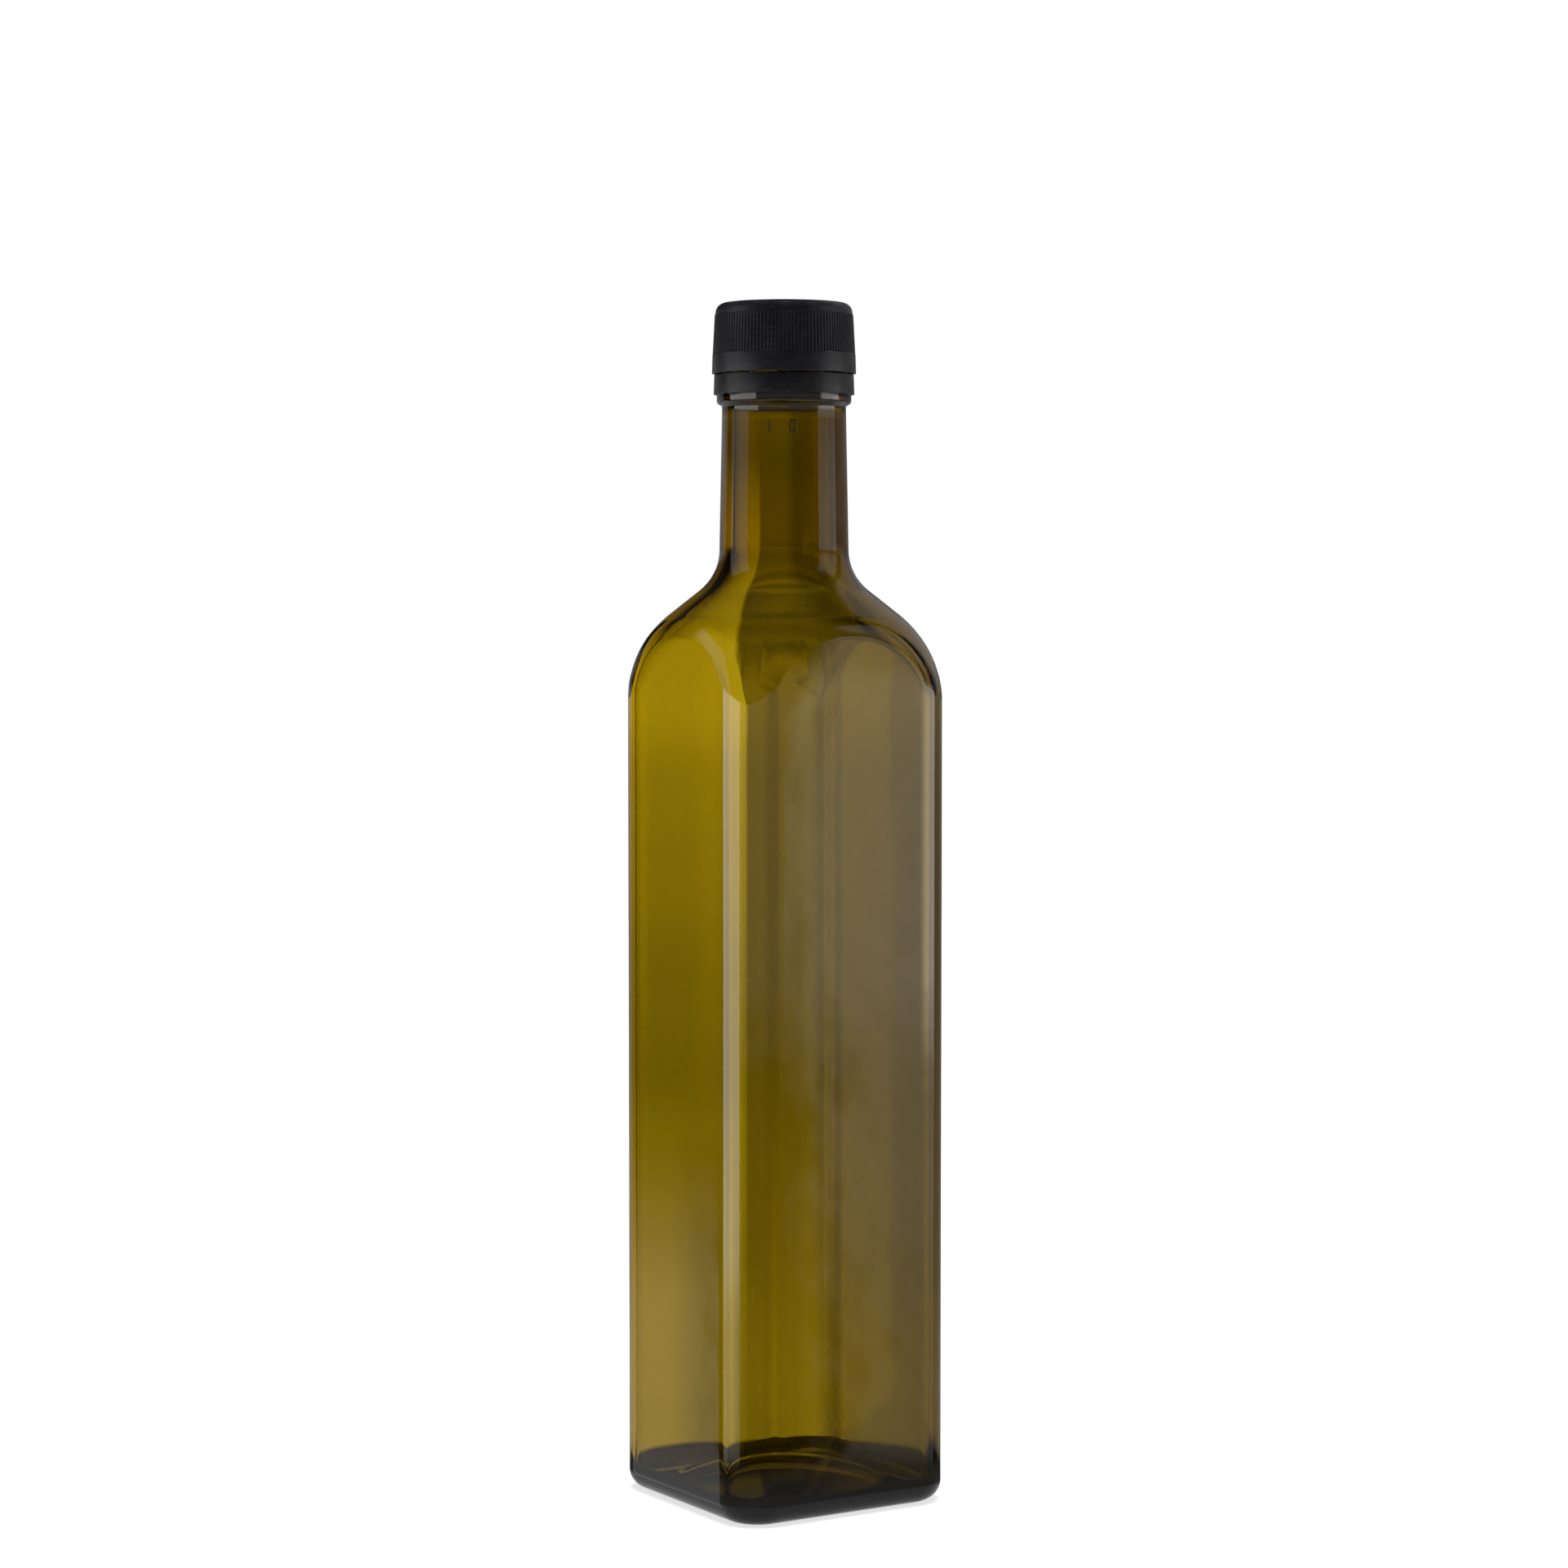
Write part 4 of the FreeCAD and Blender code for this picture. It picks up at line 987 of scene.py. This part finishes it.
def makeCard(name, c):
    low, high, edge = c["across"]
    foot, top, topEdge = c["height"]
    left, right, under, over = low - edge, high + edge, foot - footEdge, top + topEdge
    turnBack = Matrix.Rotation(-math.radians(view["turn"]), 3, "Z")
    made = addMesh(name, [
        turnBack @ Vector((across, c["behind"], height))
        for across, height in ((left, under), (right, under), (right, over), (left, over))], [(0, 1, 2, 3)])
    material, nodes, links, shader, place = newMaterial(name)
    nodes.remove(shader)
    parts = facingView(nodes, links, place)
    across = maths(nodes, links, "MULTIPLY", parts["X"], 1 / mm)
    height = maths(nodes, links, "MULTIPLY", parts["Z"], 1 / mm)
    there = maths(
        nodes, links, "MULTIPLY", softWindow(nodes, links, across, low, high, edge),
        maths(nodes, links, "MULTIPLY", mapped(nodes, links, height, under, foot, 0, 1),
              mapped(nodes, links, height, top - topEdge, top + topEdge, 1, 0)))
    dim = maths(
        nodes, links, "MULTIPLY", mapped(nodes, links, across, *c["lowRight"], 0, c["lowFade"]),
        mapped(nodes, links, height, *c["lowTop"], 1, 0))
    towards = nodes.new("ShaderNodeSeparateXYZ")
    links.new(nodes.new("ShaderNodeNewGeometry").outputs["Incoming"], towards.inputs[0])
    fromAbove = maths(
        nodes, links, "MAXIMUM", mapped(nodes, links, towards.outputs["Z"], *levelRays["slope"], 0, 1),
        mapped(nodes, links, height, *levelRays["height"], 0, 1))
    kept = maths(nodes, links, "MULTIPLY", maths(nodes, links, "SUBTRACT", 1, dim), fromAbove)
    glow, clear = nodes.new("ShaderNodeEmission"), nodes.new("ShaderNodeBsdfTransparent")
    both = nodes.new("ShaderNodeMixShader")
    level = maths(nodes, links, "MULTIPLY", glowAlong(nodes, links, height, c["glow"]), kept)
    links.new(level, glow.inputs["Strength"])
    glow.inputs["Color"].default_value = c["color"]
    links.new(there, both.inputs[0])
    links.new(clear.outputs[0], both.inputs[1])
    links.new(glow.outputs[0], both.inputs[2])
    links.new(both.outputs[0], nodes["Material Output"].inputs["Surface"])
    made.data.materials.append(material)
    made.visible_camera = made.visible_diffuse = made.visible_glossy = made.visible_shadow = False


def makeFloor():
    steps = 96
    height = -0.02  # just under the foot
    ring = [polar(studio["floorRadius"], math.tau * i / steps, height) for i in range(steps)]
    floor = addMesh("floor", ring, [tuple(range(steps))])
    material, nodes, links, shader, place = newMaterial("paleFloor")
    shader.inputs["Roughness"].default_value = 0.9
    shader.inputs["Specular IOR Level"].default_value = 0.1
    path = nodes.new("ShaderNodeLightPath")
    through = path.outputs["Is Transmission Ray"]
    # for rays through the glass the floor takes a dark colour, a painted contact shadow under the object
    tone = mapped(nodes, links, through, 0, 1, studio["floorColor"], studio["paintedShadowColor"])
    links.new(tone, shader.inputs["Base Color"])
    glow = nodes.new("ShaderNodeEmission")
    away = nodes.new("ShaderNodeVectorMath")
    away.operation = "LENGTH"
    links.new(place, away.inputs[0])
    far = mapped(nodes, links, away.outputs["Value"], *studio["floorFade"], studio["floorGlow"], 1)
    links.new(maths(nodes, links, "MULTIPLY", path.outputs["Is Camera Ray"], far), glow.inputs["Strength"])
    both = nodes.new("ShaderNodeAddShader")
    links.new(shader.outputs[0], both.inputs[0])
    links.new(glow.outputs[0], both.inputs[1])
    # through the glass only the dark patch right under the object shows, a painted contact shadow
    clear, seen = nodes.new("ShaderNodeBsdfTransparent"), nodes.new("ShaderNodeMixShader")
    beyond = mapped(nodes, links, away.outputs["Value"], *studio["paintedShadowEdge"], 0, 1)
    links.new(maths(nodes, links, "MULTIPLY", through, beyond), seen.inputs[0])
    links.new(both.outputs[0], seen.inputs[1])
    links.new(clear.outputs[0], seen.inputs[2])
    links.new(seen.outputs[0], nodes["Material Output"].inputs["Surface"])
    floor.data.materials.append(material)
    floor.visible_glossy = False


def makeLamp():
    data = bpy.data.lights.new("overhead", "AREA")
    data.shape = "DISK"
    data.size = studio["lampSize"] * mm
    data.energy = studio["lampPower"]
    lamp = bpy.data.objects.new("overhead", data)
    bpy.context.collection.objects.link(lamp)
    lamp.location = (0, 0, studio["lampHeight"] * mm)
    lamp.visible_glossy = lamp.visible_transmission = False


makeWorld()
for name, settings in cards.items():
    makeCard(name, settings)
makeFloor()
makeLamp()
bpy.context.scene.view_settings.view_transform = "Standard"
